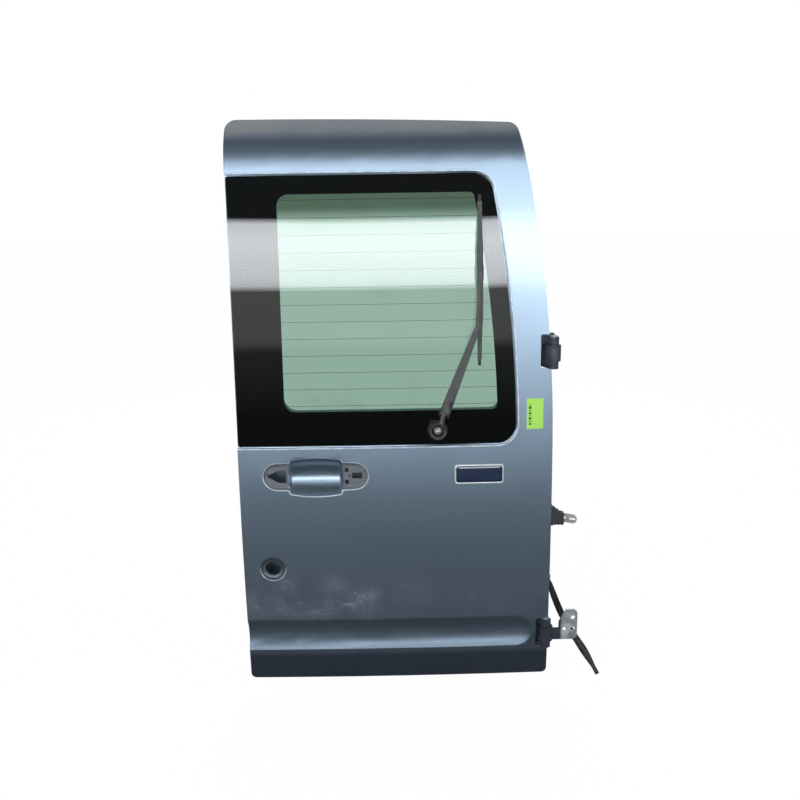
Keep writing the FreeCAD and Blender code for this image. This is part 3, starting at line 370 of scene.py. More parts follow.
def plainMetal(name):
    spec = metalSet[name]
    metal = Finish(name)
    cell = metal.mosaic(spec["spangle"])
    stain = metal.ramp(metal.noise(32.0, 5.0, 0.65), 0.48, 0.72)
    base = metal.blend(0.55 * stain, spec["tone"], spec["stain"])
    base = metal.blend(0.18 * cell, base, spangleTone)
    rough = spec["rough"] + 0.20 * stain + 0.12 * (cell - 0.5)
    shine = 0.92 - 0.35 * stain
    if "knuckle" in spec:
        painted = 1 - metal.ramp(metal.axis(0), *spec["knuckleX"])
        base = metal.blend(painted, base, spec["knuckle"])
        shine = shine * (1 - 0.7 * painted)
    return metal.surface(base=base, rough=rough, metal=shine,
                         normal=metal.bump(metal.noise(700.0, 2.0), 0.00004, 0.5))


tapeSet = {"tone": (0.014, 0.014, 0.015), "dust": (0.060, 0.056, 0.050), "rough": 0.66,
           "weaveScale": 1400.0, "weaveDepth": 0.0001}


def clothTape(spec):
    tape = Finish("clothTape")
    weave = tape.noise(spec["weaveScale"], 2.0, 0.5, (1.0, 1.0, 0.25))
    dust = tape.ramp(tape.noise(40.0, 4.0), 0.45, 0.75)
    base = tape.blend(dust * 0.4, spec["tone"], spec["dust"])
    return tape.surface(base=base, rough=spec["rough"] + 0.14 * dust,
                        normal=tape.bump(weave, spec["weaveDepth"], 0.7))


finishes = {
    "body_paint": bodyPaint("bodyPaint", paintSet),
    "inner_paint": innerPaint(innerSet),
    "tinted_glass": tintedGlass(glassSet),
    "black_frit": firedBorder(fritSet),
    "sealant": darkFinish("bondBead"),
    "black_hinge": darkFinish("hingeBlack"),
    "black_plastic": darkFinish("mouldedPlastic"),
    "black_rubber": darkFinish("mouldedRubber"),
    "wiper_black": darkFinish("wiperCoat"),
    "zinc_steel": plainMetal("zincPlate"),
    "cast_alloy": plainMetal("castAlloy"),
    "loom_tape": clothTape(tapeSet),
}
ownFinish = {
    "handle_recess": bodyPaint("recessPaint", paintSet, pads=True),
    "lock_cup": bodyPaint("shadedCupPaint", {**paintSet, **shadedCupSet}),
    "lower_hinge_leaf": plainMetal("leafPlate"),
}
print("finishes made:", len(finishes) + len(ownFinish))

# pieces that keep the CAD shape: node, material slot, angle above which an edge stays sharp
shellSet = {
    "outer_panel": ("body_paint", 24),
    "handle_recess": ("body_paint", 24),
    "lock_cup": ("body_paint", 24),
    "inner_panel": ("inner_paint", 24),
    "window_frame": ("inner_paint", 24),
    "window_tunnel": ("inner_paint", 24),
    "inner_wall": ("inner_paint", 24),
    "hem_flange": ("inner_paint", 24),
    "window_glass": ("tinted_glass", 30),
    "frit_border": ("black_frit", 30),
    "glass_bead": ("sealant", 40),
    "lower_hinge_bracket": ("black_hinge", 34),
    "upper_hinge_bracket": ("black_hinge", 34),
    "lower_hinge_pin": ("zinc_steel", 34),
    "upper_hinge_pin": ("zinc_steel", 34),
    "lower_hinge_leaf": ("zinc_steel", 34),
    "upper_hinge_leaf": ("black_hinge", 34),
    "check_box": ("black_plastic", 34),
    "check_boot": ("black_rubber", 40),
    "check_strap": ("zinc_steel", 34),
    "harness_grommet": ("black_rubber", 40),
    "latch_case": ("zinc_steel", 34),
    "latch_claw": ("zinc_steel", 34),
    "wiper_motor": ("cast_alloy", 34),
    "wiper_bracket": ("black_hinge", 34),
    "wiper_grommet": ("black_rubber", 40),
    "wiper_spindle": ("zinc_steel", 34),
    "wiper_nut": ("zinc_steel", 34),
    "wiper_head": ("wiper_black", 34),
    "wiper_lift_pin": ("zinc_steel", 34),
    "wiper_arm": ("wiper_black", 34),
    "wiper_blade_bridge": ("wiper_black", 34),
    "wiper_blade_yokes": ("wiper_black", 34),
    "wiper_blade_rubber": ("black_rubber", 34),
}
bodyOf = {node: body for body, nodes in frame["record"]["behaviour"]["bodies"].items() for node in nodes}


def addPiece(name, data, body, slot, finish=None):
    piece = bpy.data.objects.new(name, data)
    scene.collection.objects.link(piece)
    data.materials.clear()
    data.materials.append(finish or finishes[slot])
    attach(piece, body)
    return piece


# the fired border is part of the glass, so it lies a hair inside the pane's back
sunk = {"frit_border": 0.00025}
weldGap = 0.000002
flatWeight = 60  # how strongly large faces set the shading of their corners


def shellPiece(node, slot, sharp):
    mesh = frame["nodes"][node].data.copy()
    shape = bmesh.new()
    shape.from_mesh(mesh)
    bmesh.ops.remove_doubles(shape, verts=shape.verts, dist=weldGap)
    bmesh.ops.translate(shape, verts=shape.verts, vec=(0, -sunk.get(node, 0.0), 0))
    for face in shape.faces:
        face.smooth = True
    shape.to_mesh(mesh)
    shape.free()
    mesh.set_sharp_from_angle(angle=math.radians(sharp))
    piece = addPiece(node.replace("_", ".") + ".shell", mesh, bodyOf[node], slot, ownFinish.get(node))
    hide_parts(node)
    even = piece.modifiers.new("evenShading", "WEIGHTED_NORMAL")
    even.keep_sharp = True
    even.weight = flatWeight
    return piece


shells = {node: shellPiece(node, *spec) for node, spec in shellSet.items()}
print("shells made:", len(shells))


# round tube along a row of points; swell gives its thickness at each point as a share of the radius
def tubeCurve(name, points, radius, swell=None, closed=False, detail=12):
    curve = bpy.data.curves.new(name, "CURVE")
    curve.dimensions = "3D"
    spline = curve.splines.new("NURBS")
    spline.points.add(len(points) - 1)
    for index, (point, place) in enumerate(zip(spline.points, points)):
        point.co = (*place, 1.0)
        point.radius = swell[index] if swell else 1.0
    spline.order_u = 3
    spline.use_endpoint_u = not closed
    spline.use_cyclic_u = closed
    curve.resolution_u = detail
    curve.bevel_depth = radius
    curve.bevel_resolution = 5
    curve.use_fill_caps = True
    return curve


# wiring loom: hangs from the rubber elbow on the hinge side in a taped sleeve, cut at its lower end
loomSet = {
    "route": [
        (-0.044, 0.066, 0.086), (-0.036, 0.074, 0.066), (-0.026, 0.086, 0.037), (-0.014, 0.090, 0.005),
        (0.000, 0.090, -0.028), (0.017, 0.086, -0.059), (0.036, 0.078, -0.088), (0.054, 0.068, -0.115),
        (0.069, 0.057, -0.140), (0.080, 0.048, -0.160),
    ],
    "diameter": 0.010,
    "length": 0.2866,
    "sleeve": {"first": 1, "last": 8, "radius": 0.008,
               "swell": [0.72, 0.95, 1.0, 1.0, 0.92, 1.05, 1.20, 0.70]},
    "stub": {"route": [(0.006, 0.089, -0.036), (-0.002, 0.082, -0.008), (-0.0166, 0.078, 0.0263)],
             "radius": 0.0034, "swell": [1.0, 0.95, 0.45]},
}


def loomPieces(spec):
    sleeve = spec["sleeve"]
    cover = spec["route"][sleeve["first"]:sleeve["last"] + 1]
    extras = [
        addPiece("loom.sleeve", tubeCurve("loomSleeve", cover, sleeve["radius"], sleeve["swell"]), "door",
                 "loom_tape"),
        addPiece("loom.stub", tubeCurve("loomStub", spec["stub"]["route"], spec["stub"]["radius"],
                                        spec["stub"]["swell"]), "door", "loom_tape"),
    ]
    loom = addPiece("loom", tubeCurve("loom", spec["route"], spec["diameter"] / 2), "door", "loom_tape")
    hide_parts("harness_loom")


loomPieces(loomSet)
print("loom made")


def meshFrom(shape, name, sharp=40):
    bmesh.ops.recalc_face_normals(shape, faces=shape.faces)
    for face in shape.faces:
        face.smooth = True
    mesh = bpy.data.meshes.new(name)
    shape.to_mesh(mesh)
    shape.free()
    mesh.set_sharp_from_angle(angle=math.radians(sharp))
    return mesh


# where a straight line first meets a CAD piece, and that surface's direction
trees = {}
castFrom = 1.0  # distance before or behind the door from which lines are cast


def surfacePoint(node, start, aim):
    if node not in trees:
        mesh = frame["nodes"][node].data
        trees[node] = BVHTree.FromPolygons([vert.co.copy() for vert in mesh.vertices],
                                           [tuple(face.vertices) for face in mesh.polygons])
    return trees[node].ray_cast(Vector(start), Vector(aim))[:2]


def outside(x, z, node="outer_panel"):
    return surfacePoint(node, (x, -castFrom, z), (0, 1, 0))[0]


def inside(x, z, node="window_glass"):
    return surfacePoint(node, (x, castFrom, z), (0, -1, 0))[0]


def steps(low, high, count):
    return [low + (high - low) * index / (count - 1) for index in range(count)]


def uprightGrid(shape, xs, zs, cells):
    middle = Matrix.Translation(((xs[0] + xs[1]) / 2, 0, (zs[0] + zs[1]) / 2))
    size = Matrix.Diagonal(((xs[1] - xs[0]) / 2, (zs[1] - zs[0]) / 2, 1, 1))
    grid = bmesh.ops.create_grid(shape, x_segments=cells[0], y_segments=cells[1], size=1.0,
                                 matrix=middle @ Matrix.Rotation(math.pi / 2, 4, "X") @ size)
    return grid["verts"]


def raiseFaces(shape, faces, rise):
    raised = bmesh.ops.extrude_face_region(shape, geom=faces, use_keep_orig=True)["geom"]
    verts = [item for item in raised if isinstance(item, bmesh.types.BMVert)]
    bmesh.ops.translate(shape, verts=verts, vec=(0, rise, 0))
    return verts


# thin patch on a surface: a grid dropped on to it, lifted off by a hair, then given its thickness
def laidPatch(shape, xs, zs, cells, drop, lift, rise):
    verts = uprightGrid(shape, xs, zs, cells)
    for vert in verts:
        vert.co = drop(vert.co.x, vert.co.z) + Vector((0, lift, 0))
    raiseFaces(shape, list({face for vert in verts for face in vert.link_faces}), rise)


# heater wires printed on the back of the glass; each ends further left the higher it is
heaterSet = {
    "left": -0.640, "right": -0.158, "low": 0.519, "pitch": 0.0362, "count": 13, "half": 0.00035,
    "narrowing": 0.118, "power": 1.7, "cells": 14, "lift": 0.00002, "rise": 0.0003,
    # painted highlight: the second, lighter tone is a painted glint on the printed wires
    "tone": (0.070, 0.060, 0.040), "wornAndGlint": (0.12, 0.10, 0.07),
}


def wirePrint(spec):
    wire = Finish("wirePrint")
    patch = wire.noise(120.0, 3.0)
    # painted highlight: noise patches blend in the lighter glint tone
    base = wire.blend(patch, spec["tone"], spec["wornAndGlint"])
    return wire.surface(base=base, rough=0.45 + 0.1 * patch)


def heaterWires(spec):
    shape = bmesh.new()
    for index in range(spec["count"]):
        height = index * spec["pitch"]
        right = spec["right"] - spec["narrowing"] * height ** spec["power"]
        z = spec["low"] + height
        laidPatch(shape, (spec["left"], right), (z - spec["half"], z + spec["half"]), (spec["cells"], 1),
                  inside, spec["lift"], spec["rise"])
    addPiece("heater.wires", meshFrom(shape, "heaterWires"), "door", "black_frit", wirePrint(spec))


heaterWires(heaterSet)

# blank paper sticker on the hinge-side pillar with a column of plain bars
stickerSet = {
    "x": (-0.1075, -0.0715), "z": (0.461, 0.528), "cells": (6, 8), "lift": -0.00005, "rise": -0.00025,
    "bars": [(0.470, 0.474), (0.477, 0.479), (0.4815, 0.487), (0.4895, 0.4910), (0.4935, 0.498),
             (0.5005, 0.5025), (0.505, 0.511), (0.513, 0.5145)],
    "barX": (-0.1030, -0.0975), "barCells": (2, 1), "barLift": -0.0003, "barRise": -0.0001,
    "paper": (0.30, 0.62, 0.075), "paperFaded": (0.38, 0.70, 0.14),
    "ink": (0.02, 0.03, 0.01), "inkFaded": (0.07, 0.11, 0.03),
}


def labelPaper(spec):
    label = Finish("labelPaper")
    fibre = label.noise(300.0, 4.0)
    fade = label.noise(30.0, 3.0)
    base = label.blend(0.30 * fade, spec["paper"], spec["paperFaded"])
    return label.surface(base=base, rough=0.55 + 0.12 * fibre)


def printedInk(spec):
    ink = Finish("printedInk")
    fade = ink.ramp(ink.noise(260.0, 3.0), 0.40, 0.70)
    base = ink.blend(fade * 0.4, spec["ink"], spec["inkFaded"])
    return ink.surface(base=base, rough=0.5 + 0.1 * fade)


def stickerPieces(spec):
    paper = bmesh.new()
    laidPatch(paper, spec["x"], spec["z"], spec["cells"], outside, spec["lift"], spec["rise"])
    addPiece("sticker.paper", meshFrom(paper, "stickerPaper"), "door", "body_paint", labelPaper(spec))
    bars = bmesh.new()
    for bar in spec["bars"]:
        laidPatch(bars, spec["barX"], bar, spec["barCells"], outside, spec["barLift"], spec["barRise"])
    addPiece("sticker.bars", meshFrom(bars, "stickerBars"), "door", "body_paint", printedInk(spec))


stickerPieces(stickerSet)

# plain plaque where a badge would sit: a bright rim around a smooth dark plate
plaqueSet = {
    "x": (-0.265, -0.157), "z": (0.3415, 0.3845), "corner": 0.0075, "turns": 6, "foot": 0.0002,
    "rimWidth": 0.0031, "rimHeight": 0.0024, "rimEase": 0.0008,
    "plateHeight": 0.0014, "plateEase": 0.0006, "crownInset": 0.006, "crownRise": 0.0004,
    "tone": (0.008, 0.015, 0.040), "sheen": (0.014, 0.025, 0.062),
    "trim": (0.74, 0.75, 0.76), "trimDull": (0.60, 0.61, 0.62),
}


def plaquePlate(spec):
    plate = Finish("plaquePlate")
    haze = plate.noise(90.0, 3.0)
    base = plate.blend(0.6 * haze, spec["tone"], spec["sheen"])
    return plate.surface(base=base, rough=0.16 + 0.12 * haze, coat=0.6, coatRough=0.05)


def brightTrim(spec):
    trim = Finish("brightTrim")
    haze = trim.noise(200.0, 3.0)
    base = trim.blend(haze, spec["trim"], spec["trimDull"])
    return trim.surface(base=base, rough=0.18 + 0.14 * haze, metal=0.45)


# rounded outline split into its rim and the plate inside it; only the asked one is kept and raised
def plaqueBlank(spec, rim, height, ease):
    shape = bmesh.new()
    uprightGrid(shape, spec["x"], spec["z"], (1, 1))
    bmesh.ops.bevel(shape, geom=shape.verts[:], offset=spec["corner"], affect="VERTICES",
                    segments=spec["turns"], profile=0.5, material=-1)
    plate = shape.faces[:]
    border = bmesh.ops.inset_region(shape, faces=plate, thickness=spec["rimWidth"],
                                    use_boundary=True)["faces"]
    bmesh.ops.delete(shape, geom=plate if rim else border, context="FACES")
    top = set(raiseFaces(shape, shape.faces[:], -height))
    edges = [edge for edge in shape.edges if edge.verts[0] in top and edge.verts[1] in top
             and edge.calc_face_angle(0) > 1]
    bmesh.ops.bevel(shape, geom=edges, offset=ease, affect="EDGES", segments=2, profile=0.5, material=-1)
    return shape


def dropOnSkin(shape, foot):
    for vert in shape.verts:
        vert.co.y += outside(vert.co.x, vert.co.z).y - foot


def plaquePieces(spec):
    rim = plaqueBlank(spec, True, spec["rimHeight"], spec["rimEase"])
    dropOnSkin(rim, spec["foot"])
    addPiece("plaque.rim", meshFrom(rim, "plaqueRim", 50), "door", "zinc_steel", brightTrim(spec))
    plate = plaqueBlank(spec, False, spec["plateHeight"], spec["plateEase"])
    front = [min(plate.faces, key=lambda face: face.calc_center_median().y)]
    bmesh.ops.inset_region(plate, faces=front, thickness=spec["crownInset"], depth=spec["crownRise"])
    bmesh.ops.triangulate(plate, faces=[face for face in plate.faces if len(face.verts) > 4])
    dropOnSkin(plate, spec["foot"])
    addPiece("plaque.plate", meshFrom(plate, "plaquePlate", 50), "door", "black_plastic", plaquePlate(spec))


plaquePieces(plaqueSet)
print("heater wires, sticker and plaque made")


def seatOn(place, normal):
    return Matrix.Translation(place) @ normal.to_track_quat("Z", "Y").to_matrix().to_4x4()


# hexagon heads on washers: the side they are seen from, the node they sit on, and their places;
# layers are radius, foot, top, sides and eased edge of the washer and of the head
boltSet = {
    "layers": [(0.0072, 0.0, 0.0012, 24, 0.0003), (0.0057, 0.0012, 0.0057, 6, 0.0006)],
    "start": {"right": 0.3, "left": -1.2, "back": 0.6},
    "hinge": {"from": "right", "nodes": {"lower_hinge_bracket": [(0.0575, -0.046), (0.0575, -0.006)],
                                         "upper_hinge_bracket": [(0.0760, 0.610), (0.0760, 0.650)]}},
    "check": {"from": "right", "nodes": {"inner_wall": [(0.0440, 0.244), (0.0440, 0.280)]}},
    "latch": {"from": "left", "nodes": {"inner_wall": [(0.0397, 0.312), (0.0397, 0.374), (0.0550, 0.343)]}},
    "motor": {"from": "back", "nodes": {"window_frame": [(-0.3800, 0.460), (-0.2480, 0.460)]}},
}
boltAim = {"right": (-1, 0, 0), "left": (1, 0, 0), "back": (0, -1, 0)}


def boltStart(side, first, second, spec):
    reach = spec["start"][side]
    return (first, reach, second) if side == "back" else (reach, first, second)


def boltPieces(name, spec):
    shape = bmesh.new()
    side = spec[name]["from"]
    places = [(node, *place) for node, group in spec[name]["nodes"].items() for place in group]
    for node, first, second in places:
        seat = seatOn(*surfacePoint(node, boltStart(side, first, second, spec), boltAim[side]))
        for radius, low, high, sides, ease in spec["layers"]:
            lift = Matrix.Translation((0, 0, (low + high) / 2))
            disc = bmesh.ops.create_cone(shape, cap_ends=True, segments=sides, radius1=radius, radius2=radius,
                                         depth=high - low, matrix=seat @ lift)["verts"]
            top = {vert for vert in disc if (seat.inverted() @ vert.co).z > (low + high) / 2}
            around = {edge for vert in top for edge in vert.link_edges}
            rim = [edge for edge in around if set(edge.verts) <= top]
            bmesh.ops.bevel(shape, geom=rim, offset=ease, affect="EDGES", segments=2, profile=0.5,
                            material=-1)
    addPiece(name + ".bolts", meshFrom(shape, name + "Bolts", 28), "door", "zinc_steel")


for name in ("hinge", "check", "latch", "motor"):
    boltPieces(name, boltSet)

# round rubber plugs that close the paint drains of the inner side, turned from a half profile
plugSet = {
    "profile": [(0.0, 0.0), (0.0095, 0.0), (0.0095, 0.0012), (0.0080, 0.0024), (0.0045, 0.0026),
                (0.0035, 0.0016), (0.0, 0.0016)],
    "turns": 24,
    "nodes": {"inner_panel": [(-0.660, -0.055), (-0.130, -0.055), (-0.672, 0.130), (-0.120, 0.130),
                              (-0.3945, 0.300)],
              "window_frame": [(-0.686, 0.560), (-0.686, 0.760), (-0.118, 0.560), (-0.560, 0.455)]},
    "start": 0.6, "weldGap": 0.00001,
}


def plugPieces(spec):
    shape = bmesh.new()
    places = [(node, *place) for node, group in spec["nodes"].items() for place in group]
    for node, x, z in places:
        place, normal = surfacePoint(node, (x, spec["start"], z), (0, -1, 0))
        seat = seatOn(place, normal)
        verts = [shape.verts.new(seat @ Vector((radius, 0, height))) for radius, height in spec["profile"]]
        edges = [shape.edges.new(pair) for pair in zip(verts, verts[1:])]
        bmesh.ops.spin(shape, geom=verts + edges, cent=place, axis=normal, angle=2 * math.pi,
                       steps=spec["turns"], use_merge=True)
    bmesh.ops.remove_doubles(shape, verts=shape.verts, dist=spec["weldGap"])
    addPiece("drain.plugs", meshFrom(shape, "drainPlugs"), "door", "black_rubber")


plugPieces(plugSet)
print("bolts and plugs made")

# dark blocks that stand in for shade: one behind the holes of the handle's right pad and one in the gap under
# the lower hinge
shadeFillSet = {
    "handle": ((-0.507, 0.0215, 0.328), (-0.455, 0.0255, 0.386)),
    "hinge": ((-0.0790, 0.0120, -0.0625), (-0.0610, 0.0200, -0.0515)),
    "ease": 0.0015, "turns": 3,
}


def shadeFillPiece(name, spec):
    shape = bmesh.new()
    low, high = (Vector(corner) for corner in spec[name])
    seat = Matrix.Translation((low + high) / 2) @ Matrix.Diagonal((*(high - low), 1))
    bmesh.ops.create_cube(shape, size=1.0, matrix=seat)
    bmesh.ops.bevel(shape, geom=shape.edges[:], offset=spec["ease"], affect="EDGES", segments=spec["turns"],
                    profile=0.5, material=-1)
    addPiece(name + ".packing", meshFrom(shape, name + "Packing"), "door", "sealant")


for name in ("handle", "hinge"):
    shadeFillPiece(name, shadeFillSet)

# folded rubber nose of the check strap's boot: sections from the door's edge out, each an x, a y range
# and a z range; its mouth is open, because the strap's eye slides into it
noseSet = {
    "corner": 0.005, "turns": 4, "wall": 0.0012,
    "sections": [
        (-0.0480, (0.0075, 0.0345), (0.2360, 0.2820)), (-0.0445, (0.0070, 0.0340), (0.2365, 0.2800)),
        (-0.0425, (0.0080, 0.0320), (0.2385, 0.2760)), (-0.0390, (0.0060, 0.0320), (0.2375, 0.2765)),
        (-0.0365, (0.0070, 0.0300), (0.2395, 0.2715)), (-0.0325, (0.0048, 0.0295), (0.2380, 0.2720)),
        (-0.0300, (0.0058, 0.0275), (0.2400, 0.2675)), (-0.0255, (0.0036, 0.0265), (0.2385, 0.2670)),
        (-0.0215, (0.0048, 0.0245), (0.2400, 0.2665)),
    ],
}


# takes a unit square across the x axis to a section's place and size
def sectionMatrix(section):
    x, (lowY, highY), (lowZ, highZ) = section
    middle = Matrix.Translation((x, (lowY + highY) / 2, (lowZ + highZ) / 2))
    return middle @ Matrix.Diagonal((1, highY - lowY, highZ - lowZ, 1))


def bootNose(spec):
    shape = bmesh.new()
    sections = spec["sections"]
    seat = sectionMatrix(sections[0]) @ Matrix.Rotation(math.pi / 2, 4, "Y")
    bmesh.ops.create_grid(shape, x_segments=1, y_segments=1, size=0.5, matrix=seat)
    bmesh.ops.bevel(shape, geom=shape.verts[:], offset=spec["corner"], affect="VERTICES",
                    segments=spec["turns"], profile=0.5, material=-1)
    front = shape.faces[:]
    for index in range(1, len(sections)):
        raised = bmesh.ops.extrude_face_region(shape, geom=front)["geom"]
        bmesh.ops.delete(shape, geom=front, context="FACES_ONLY")
        front = [item for item in raised if isinstance(item, bmesh.types.BMFace)]
        move = sectionMatrix(sections[index]) @ sectionMatrix(sections[index - 1]).inverted()
        bmesh.ops.transform(shape, matrix=move, verts=front[0].verts[:])
    bmesh.ops.delete(shape, geom=front, context="FACES_ONLY")
    bmesh.ops.recalc_face_normals(shape, faces=shape.faces)
    bmesh.ops.solidify(shape, geom=shape.faces[:], thickness=spec["wall"])
    addPiece("boot.nose", meshFrom(shape, "bootNose", 70), "door", "black_rubber")


bootNose(noseSet)
print("packings and boot nose made")

# rolled edge of the window pocket, a thin tube painted pale as a painted highlight around the glass
rimSet = {
    "left": -0.737, "low": 0.427, "high": 1.007, "belt": 0.429, "right": -0.050, "sideRadius": 2.870,
    "pillar": 0.076, "corner": 0.045, "outset": 0.0012, "radius": 0.0017, "detail": 2,
    "levelSteps": 24, "sideSteps": 26, "sideEnd": 0.8, "lowTurns": (-80, 0, 9), "highTurn": 8, "highSteps": 8,
}


def rimSide(spec, z):
    inset = spec["pillar"] - spec["outset"]
    rise = max(z - spec["belt"], 0.0)
    return spec["right"] - spec["sideRadius"] + math.sqrt((spec["sideRadius"] - inset) ** 2 - rise ** 2)


def cornerArc(x, z, radius, turns):
    return [(x + radius * math.cos(math.radians(turn)), z + radius * math.sin(math.radians(turn)))
            for turn in turns]


def rimOutline(spec):
    low, high = spec["low"] - spec["outset"], spec["high"] + spec["outset"]
    radius = spec["corner"] + spec["outset"]
    lowX = rimSide(spec, low + radius) - radius
    lean = math.degrees(math.asin((high - radius - spec["belt"]) / spec["sideRadius"]))
    sideTop = high - radius * spec["sideEnd"]
    highX = rimSide(spec, sideTop) - radius * math.cos(math.radians(lean))
    return ([(x, low) for x in steps(spec["left"], lowX, spec["levelSteps"])]
            + cornerArc(lowX, low + radius, radius, steps(*spec["lowTurns"]))
            + [(rimSide(spec, z), z) for z in steps(low + radius, sideTop, spec["sideSteps"])[1:]]
            + cornerArc(highX, high - radius, radius, steps(lean + spec["highTurn"], 90, spec["highSteps"]))
            + [(x, high) for x in steps(highX, spec["left"], spec["levelSteps"])[1:]])


# edge of a pressed hole in the skin: the reach at which a line from outside meets the skin again
lipSet = {
    "handle": {"middle": (-0.570, 0.363), "reach": 0.130, "count": 120, "radius": 0.0014},
    "lock": {"middle": (-0.674, 0.148), "reach": 0.045, "count": 48, "radius": 0.0010},
    "outset": 0.0006, "tries": 18, "detail": 2, "thin": 0.35,
}


def holeOutline(spec, outset, tries):
    points = []
    middleX, middleZ = spec["middle"]
    for turn in steps(0, 2 * math.pi * (1 - 1 / spec["count"]), spec["count"]):
        low, high = 0.0, spec["reach"]
        for attempt in range(tries):
            reach = (low + high) / 2
            if outside(middleX + reach * math.cos(turn), middleZ + reach * math.sin(turn)) is None:
                low = reach
            else:
                high = reach
        edge = high + outset
        points.append((middleX + edge * math.cos(turn), middleZ + edge * math.sin(turn)))
    return points


# painted highlights: the pale tones of the window roll and of the hole lips; the second tone dims them in
# patches
edgeSet = {
    "rollHighlight": {"tone": (0.62, 0.70, 0.78), "wornAndGlint": (0.40, 0.47, 0.54), "metal": 0.25, "rough": 0.30},
    "lipHighlight": {"tone": (0.56, 0.63, 0.70), "wornAndGlint": (0.44, 0.51, 0.58), "metal": 0.50, "rough": 0.30},
}


def highlightPaint(name):
    spec = edgeSet[name]
    edge = Finish(name)
    wear = edge.noise(60.0, 4.0)
    base = edge.blend(edge.ramp(wear, 0.35, 0.70), spec["tone"], spec["wornAndGlint"])
    return edge.surface(base=base, rough=spec["rough"] + 0.12 * wear, metal=spec["metal"], coat=0.4)


def edgePieces():
    line = [outside(x, z) for x, z in rimOutline(rimSet)]
    addPiece("window.roll", tubeCurve("windowRoll", line, rimSet["radius"], detail=rimSet["detail"]), "door",
             "body_paint", highlightPaint("rollHighlight"))
    # painted highlight: the lips of the handle and lock holes get a pale tone; their upper halves are thinner
    lipHighlight = highlightPaint("lipHighlight")
    for name in ("handle", "lock"):
        outline = holeOutline(lipSet[name], lipSet["outset"], lipSet["tries"])
        line = [outside(x, z) for x, z in outline]
        swell = [lipSet["thin"] if z > lipSet[name]["middle"][1] else 1.0 for x, z in outline]
        curve = tubeCurve(name + "Lip", line, lipSet[name]["radius"], swell, True, lipSet["detail"])
        addPiece(name + ".lip", curve, "door", "body_paint", lipHighlight)


edgePieces()
print("rolled edges made")

# floor, reflecting tent and lamps; the tent's stops run from the ground at 0 to the zenith at 1
stageSet = {
    "floorDrop": 0.004,
    "floorSize": 40.0,
    "floorTone": (0.82, 0.82, 0.82),
    "floorWhite": 0.985,
    "tentRadius": 14.0,
    "tentMiddle": (-0.4, 0.0, 0.8),
    "tentCells": (48, 32),
    "frontStops": [
        (0.00, (0.020, 0.022, 0.026)), (0.30, (0.030, 0.033, 0.038)), (0.38, (0.055, 0.058, 0.062)),
        (0.43, (0.080, 0.086, 0.092)), (0.456, (0.24, 0.25, 0.26)), (0.474, (0.32, 0.34, 0.35)),
        (0.479, (1.25, 1.32, 1.28)), (0.513, (1.40, 1.46, 1.42)), (0.516, (12.0, 12.4, 13.0)),
        (0.543, (15.5, 16.0, 16.6)), (0.555, (13.0, 13.4, 14.0)), (0.558, (0.16, 0.18, 0.20)),
        (0.590, (0.16, 0.18, 0.20)), (0.602, (2.0, 2.08, 2.16)), (0.65, (2.3, 2.4, 2.5)),
        (0.70, (0.80, 0.84, 0.88)), (0.78, (0.05, 0.06, 0.07)), (0.94, (0.06, 0.06, 0.06)),
        (1.0, (0.20, 0.20, 0.20)),
    ],
    "backStops": [(0.0, (0.05, 0.05, 0.05)), (0.48, (0.22, 0.23, 0.23)), (0.53, (0.42, 0.44, 0.45)),
                  (0.75, (0.55, 0.56, 0.57)), (1.0, (0.62, 0.62, 0.61))],
    "frontToBack": (-0.25, 0.10),
    "frontToSide": (0.34, 0.80),
    "dusk": (0.30, 0.32, 0.28),
    "duskUp": (0.487, 0.497),
    "worldTone": (0.93, 0.97, 1.0),
    "worldLight": 0.62,
}
white = (1.0, 1.0, 1.0)
rayKinds = {"camera": 0, "glossy": 3, "transmission": 6}


def seenBy(finish, *kinds):
    rays = [finish.add("ShaderNodeLightPath", out=rayKinds[kind]) for kind in kinds]
    share = rays[0]
    for ray in rays[1:]:
        share = share.most(ray)
    return share


def addStage(name, shape, finish):
    mesh = bpy.data.meshes.new(name)
    shape.to_mesh(mesh)
    shape.free()
    mesh.materials.append(finish.owner)
    piece = bpy.data.objects.new(name, mesh)
    scene.collection.objects.link(piece)
    return piece


def makeFloor(spec):
    shape = bmesh.new()
    bmesh.ops.create_grid(shape, x_segments=1, y_segments=1, size=spec["floorSize"] / 2)
    bmesh.ops.translate(shape, verts=shape.verts, vec=(0, 0, cadLow.z - spec["floorDrop"]))
    cover = Finish("paleFloor")
    matt = cover.add("ShaderNodeBsdfDiffuse", None, {"Color": (*spec["floorTone"], 1.0)})
    glow = cover.add("ShaderNodeEmission", None, {"Color": (*white, 1.0), "Strength": 1.0})
    share = seenBy(cover, "camera", "glossy", "transmission") * spec["floorWhite"]
    both = cover.add("ShaderNodeMixShader", None, {0: share, 1: matt, 2: glow})
    cover.add("ShaderNodeOutputMaterial", None, {"Surface": both})
    floor = addStage("floor", shape, cover)
    floor.visible_glossy = False


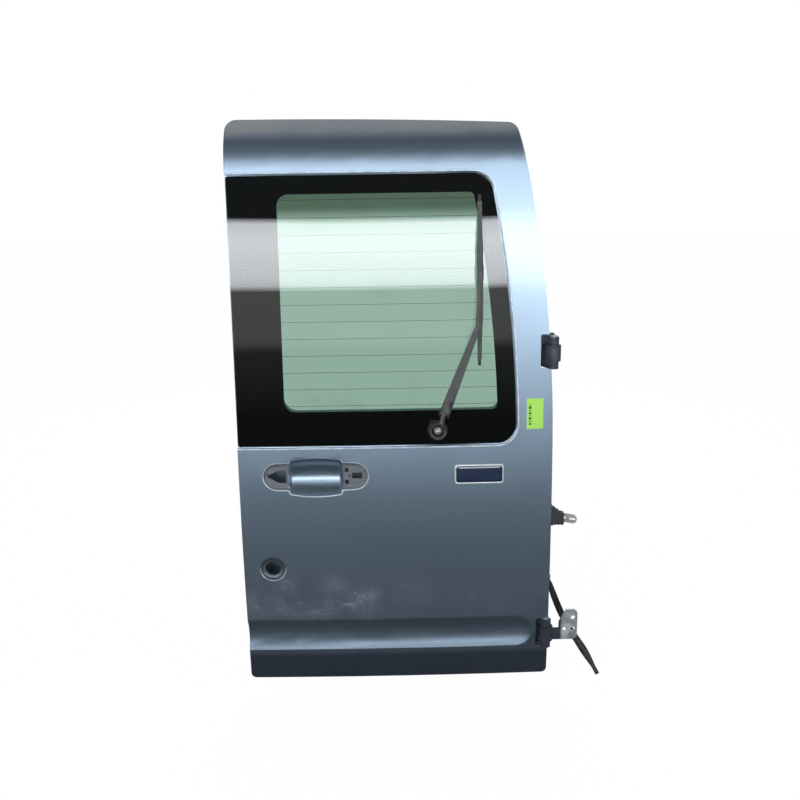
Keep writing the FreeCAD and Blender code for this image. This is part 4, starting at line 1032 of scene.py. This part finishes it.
# only reflections see the tent's stops; through the glass it is white, with a dusk above the horizon
def makeTent(spec):
    shape = bmesh.new()
    around, upward = spec["tentCells"]
    bmesh.ops.create_uvsphere(shape, u_segments=around, v_segments=upward, radius=spec["tentRadius"],
                              matrix=Matrix.Translation(spec["tentMiddle"]))
    cloth = Finish("tentCloth")
    up = (cloth.axis(2) - spec["tentMiddle"][2]) / (2 * spec["tentRadius"]) + 0.5
    front = cloth.add("ShaderNodeValToRGB", {"stops": spec["frontStops"]}, {"Fac": up})
    back = cloth.add("ShaderNodeValToRGB", {"stops": spec["backStops"]}, {"Fac": up})
    behind = cloth.ramp(cloth.axis(1) / spec["tentRadius"], *spec["frontToBack"])
    across = (cloth.axis(0) - spec["tentMiddle"][0]) / spec["tentRadius"]
    behind = behind.most(cloth.ramp(across * across, *spec["frontToSide"]))
    through = cloth.blend(cloth.ramp(up, *spec["duskUp"]), white, spec["dusk"])
    tone = cloth.blend(seenBy(cloth, "transmission"), cloth.blend(behind, front, back), through)
    glow = cloth.add("ShaderNodeEmission", None, {"Color": tone, "Strength": 1.0})
    cloth.add("ShaderNodeOutputMaterial", None, {"Surface": glow})
    tent = addStage("tent", shape, cloth)
    tent.visible_camera = False
    tent.visible_diffuse = False
    tent.visible_shadow = False


def makeWorld(spec):
    world = bpy.data.worlds.new("studio")
    scene.world = world
    sky = Finish("studio", world)
    soft = sky.add("ShaderNodeBackground", None, {
        "Color": (*spec["worldTone"], 1.0), "Strength": spec["worldLight"]})
    plain = sky.add("ShaderNodeBackground", None, {"Color": (*white, 1.0), "Strength": 1.0})
    share = seenBy(sky, "camera", "glossy", "transmission")
    both = sky.add("ShaderNodeMixShader", None, {0: share, 1: soft, 2: plain})
    sky.add("ShaderNodeOutputWorld", None, {"Surface": both})


lampSet = {
    "key": {"place": (-1.9, -2.6, 2.6), "aim": (-0.4, 0.0, 0.5), "size": 2.2, "power": 70},
    "rim": {"place": (2.4, -1.2, 1.9), "aim": (-0.3, 0.0, 0.5), "size": 1.6, "power": 30},
    "back": {"place": (-0.4, 2.8, 2.0), "aim": (-0.4, 0.0, 0.5), "size": 2.4, "power": 60},
}


def makeLamp(name, spec):
    data = bpy.data.lights.new(name, "AREA")
    data.shape = "SQUARE"
    data.size = spec["size"]
    data.energy = spec["power"]
    lamp = bpy.data.objects.new(name, data)
    aim = Vector(spec["aim"]) - Vector(spec["place"])
    lamp.location = spec["place"]
    lamp.rotation_euler = aim.to_track_quat("-Z", "Y").to_euler()
    lamp.visible_camera = False
    lamp.visible_glossy = False
    lamp.visible_transmission = False
    scene.collection.objects.link(lamp)


makeFloor(stageSet)
makeTent(stageSet)
makeWorld(stageSet)
for name, spec in lampSet.items():
    makeLamp(name, spec)
print("studio set up")
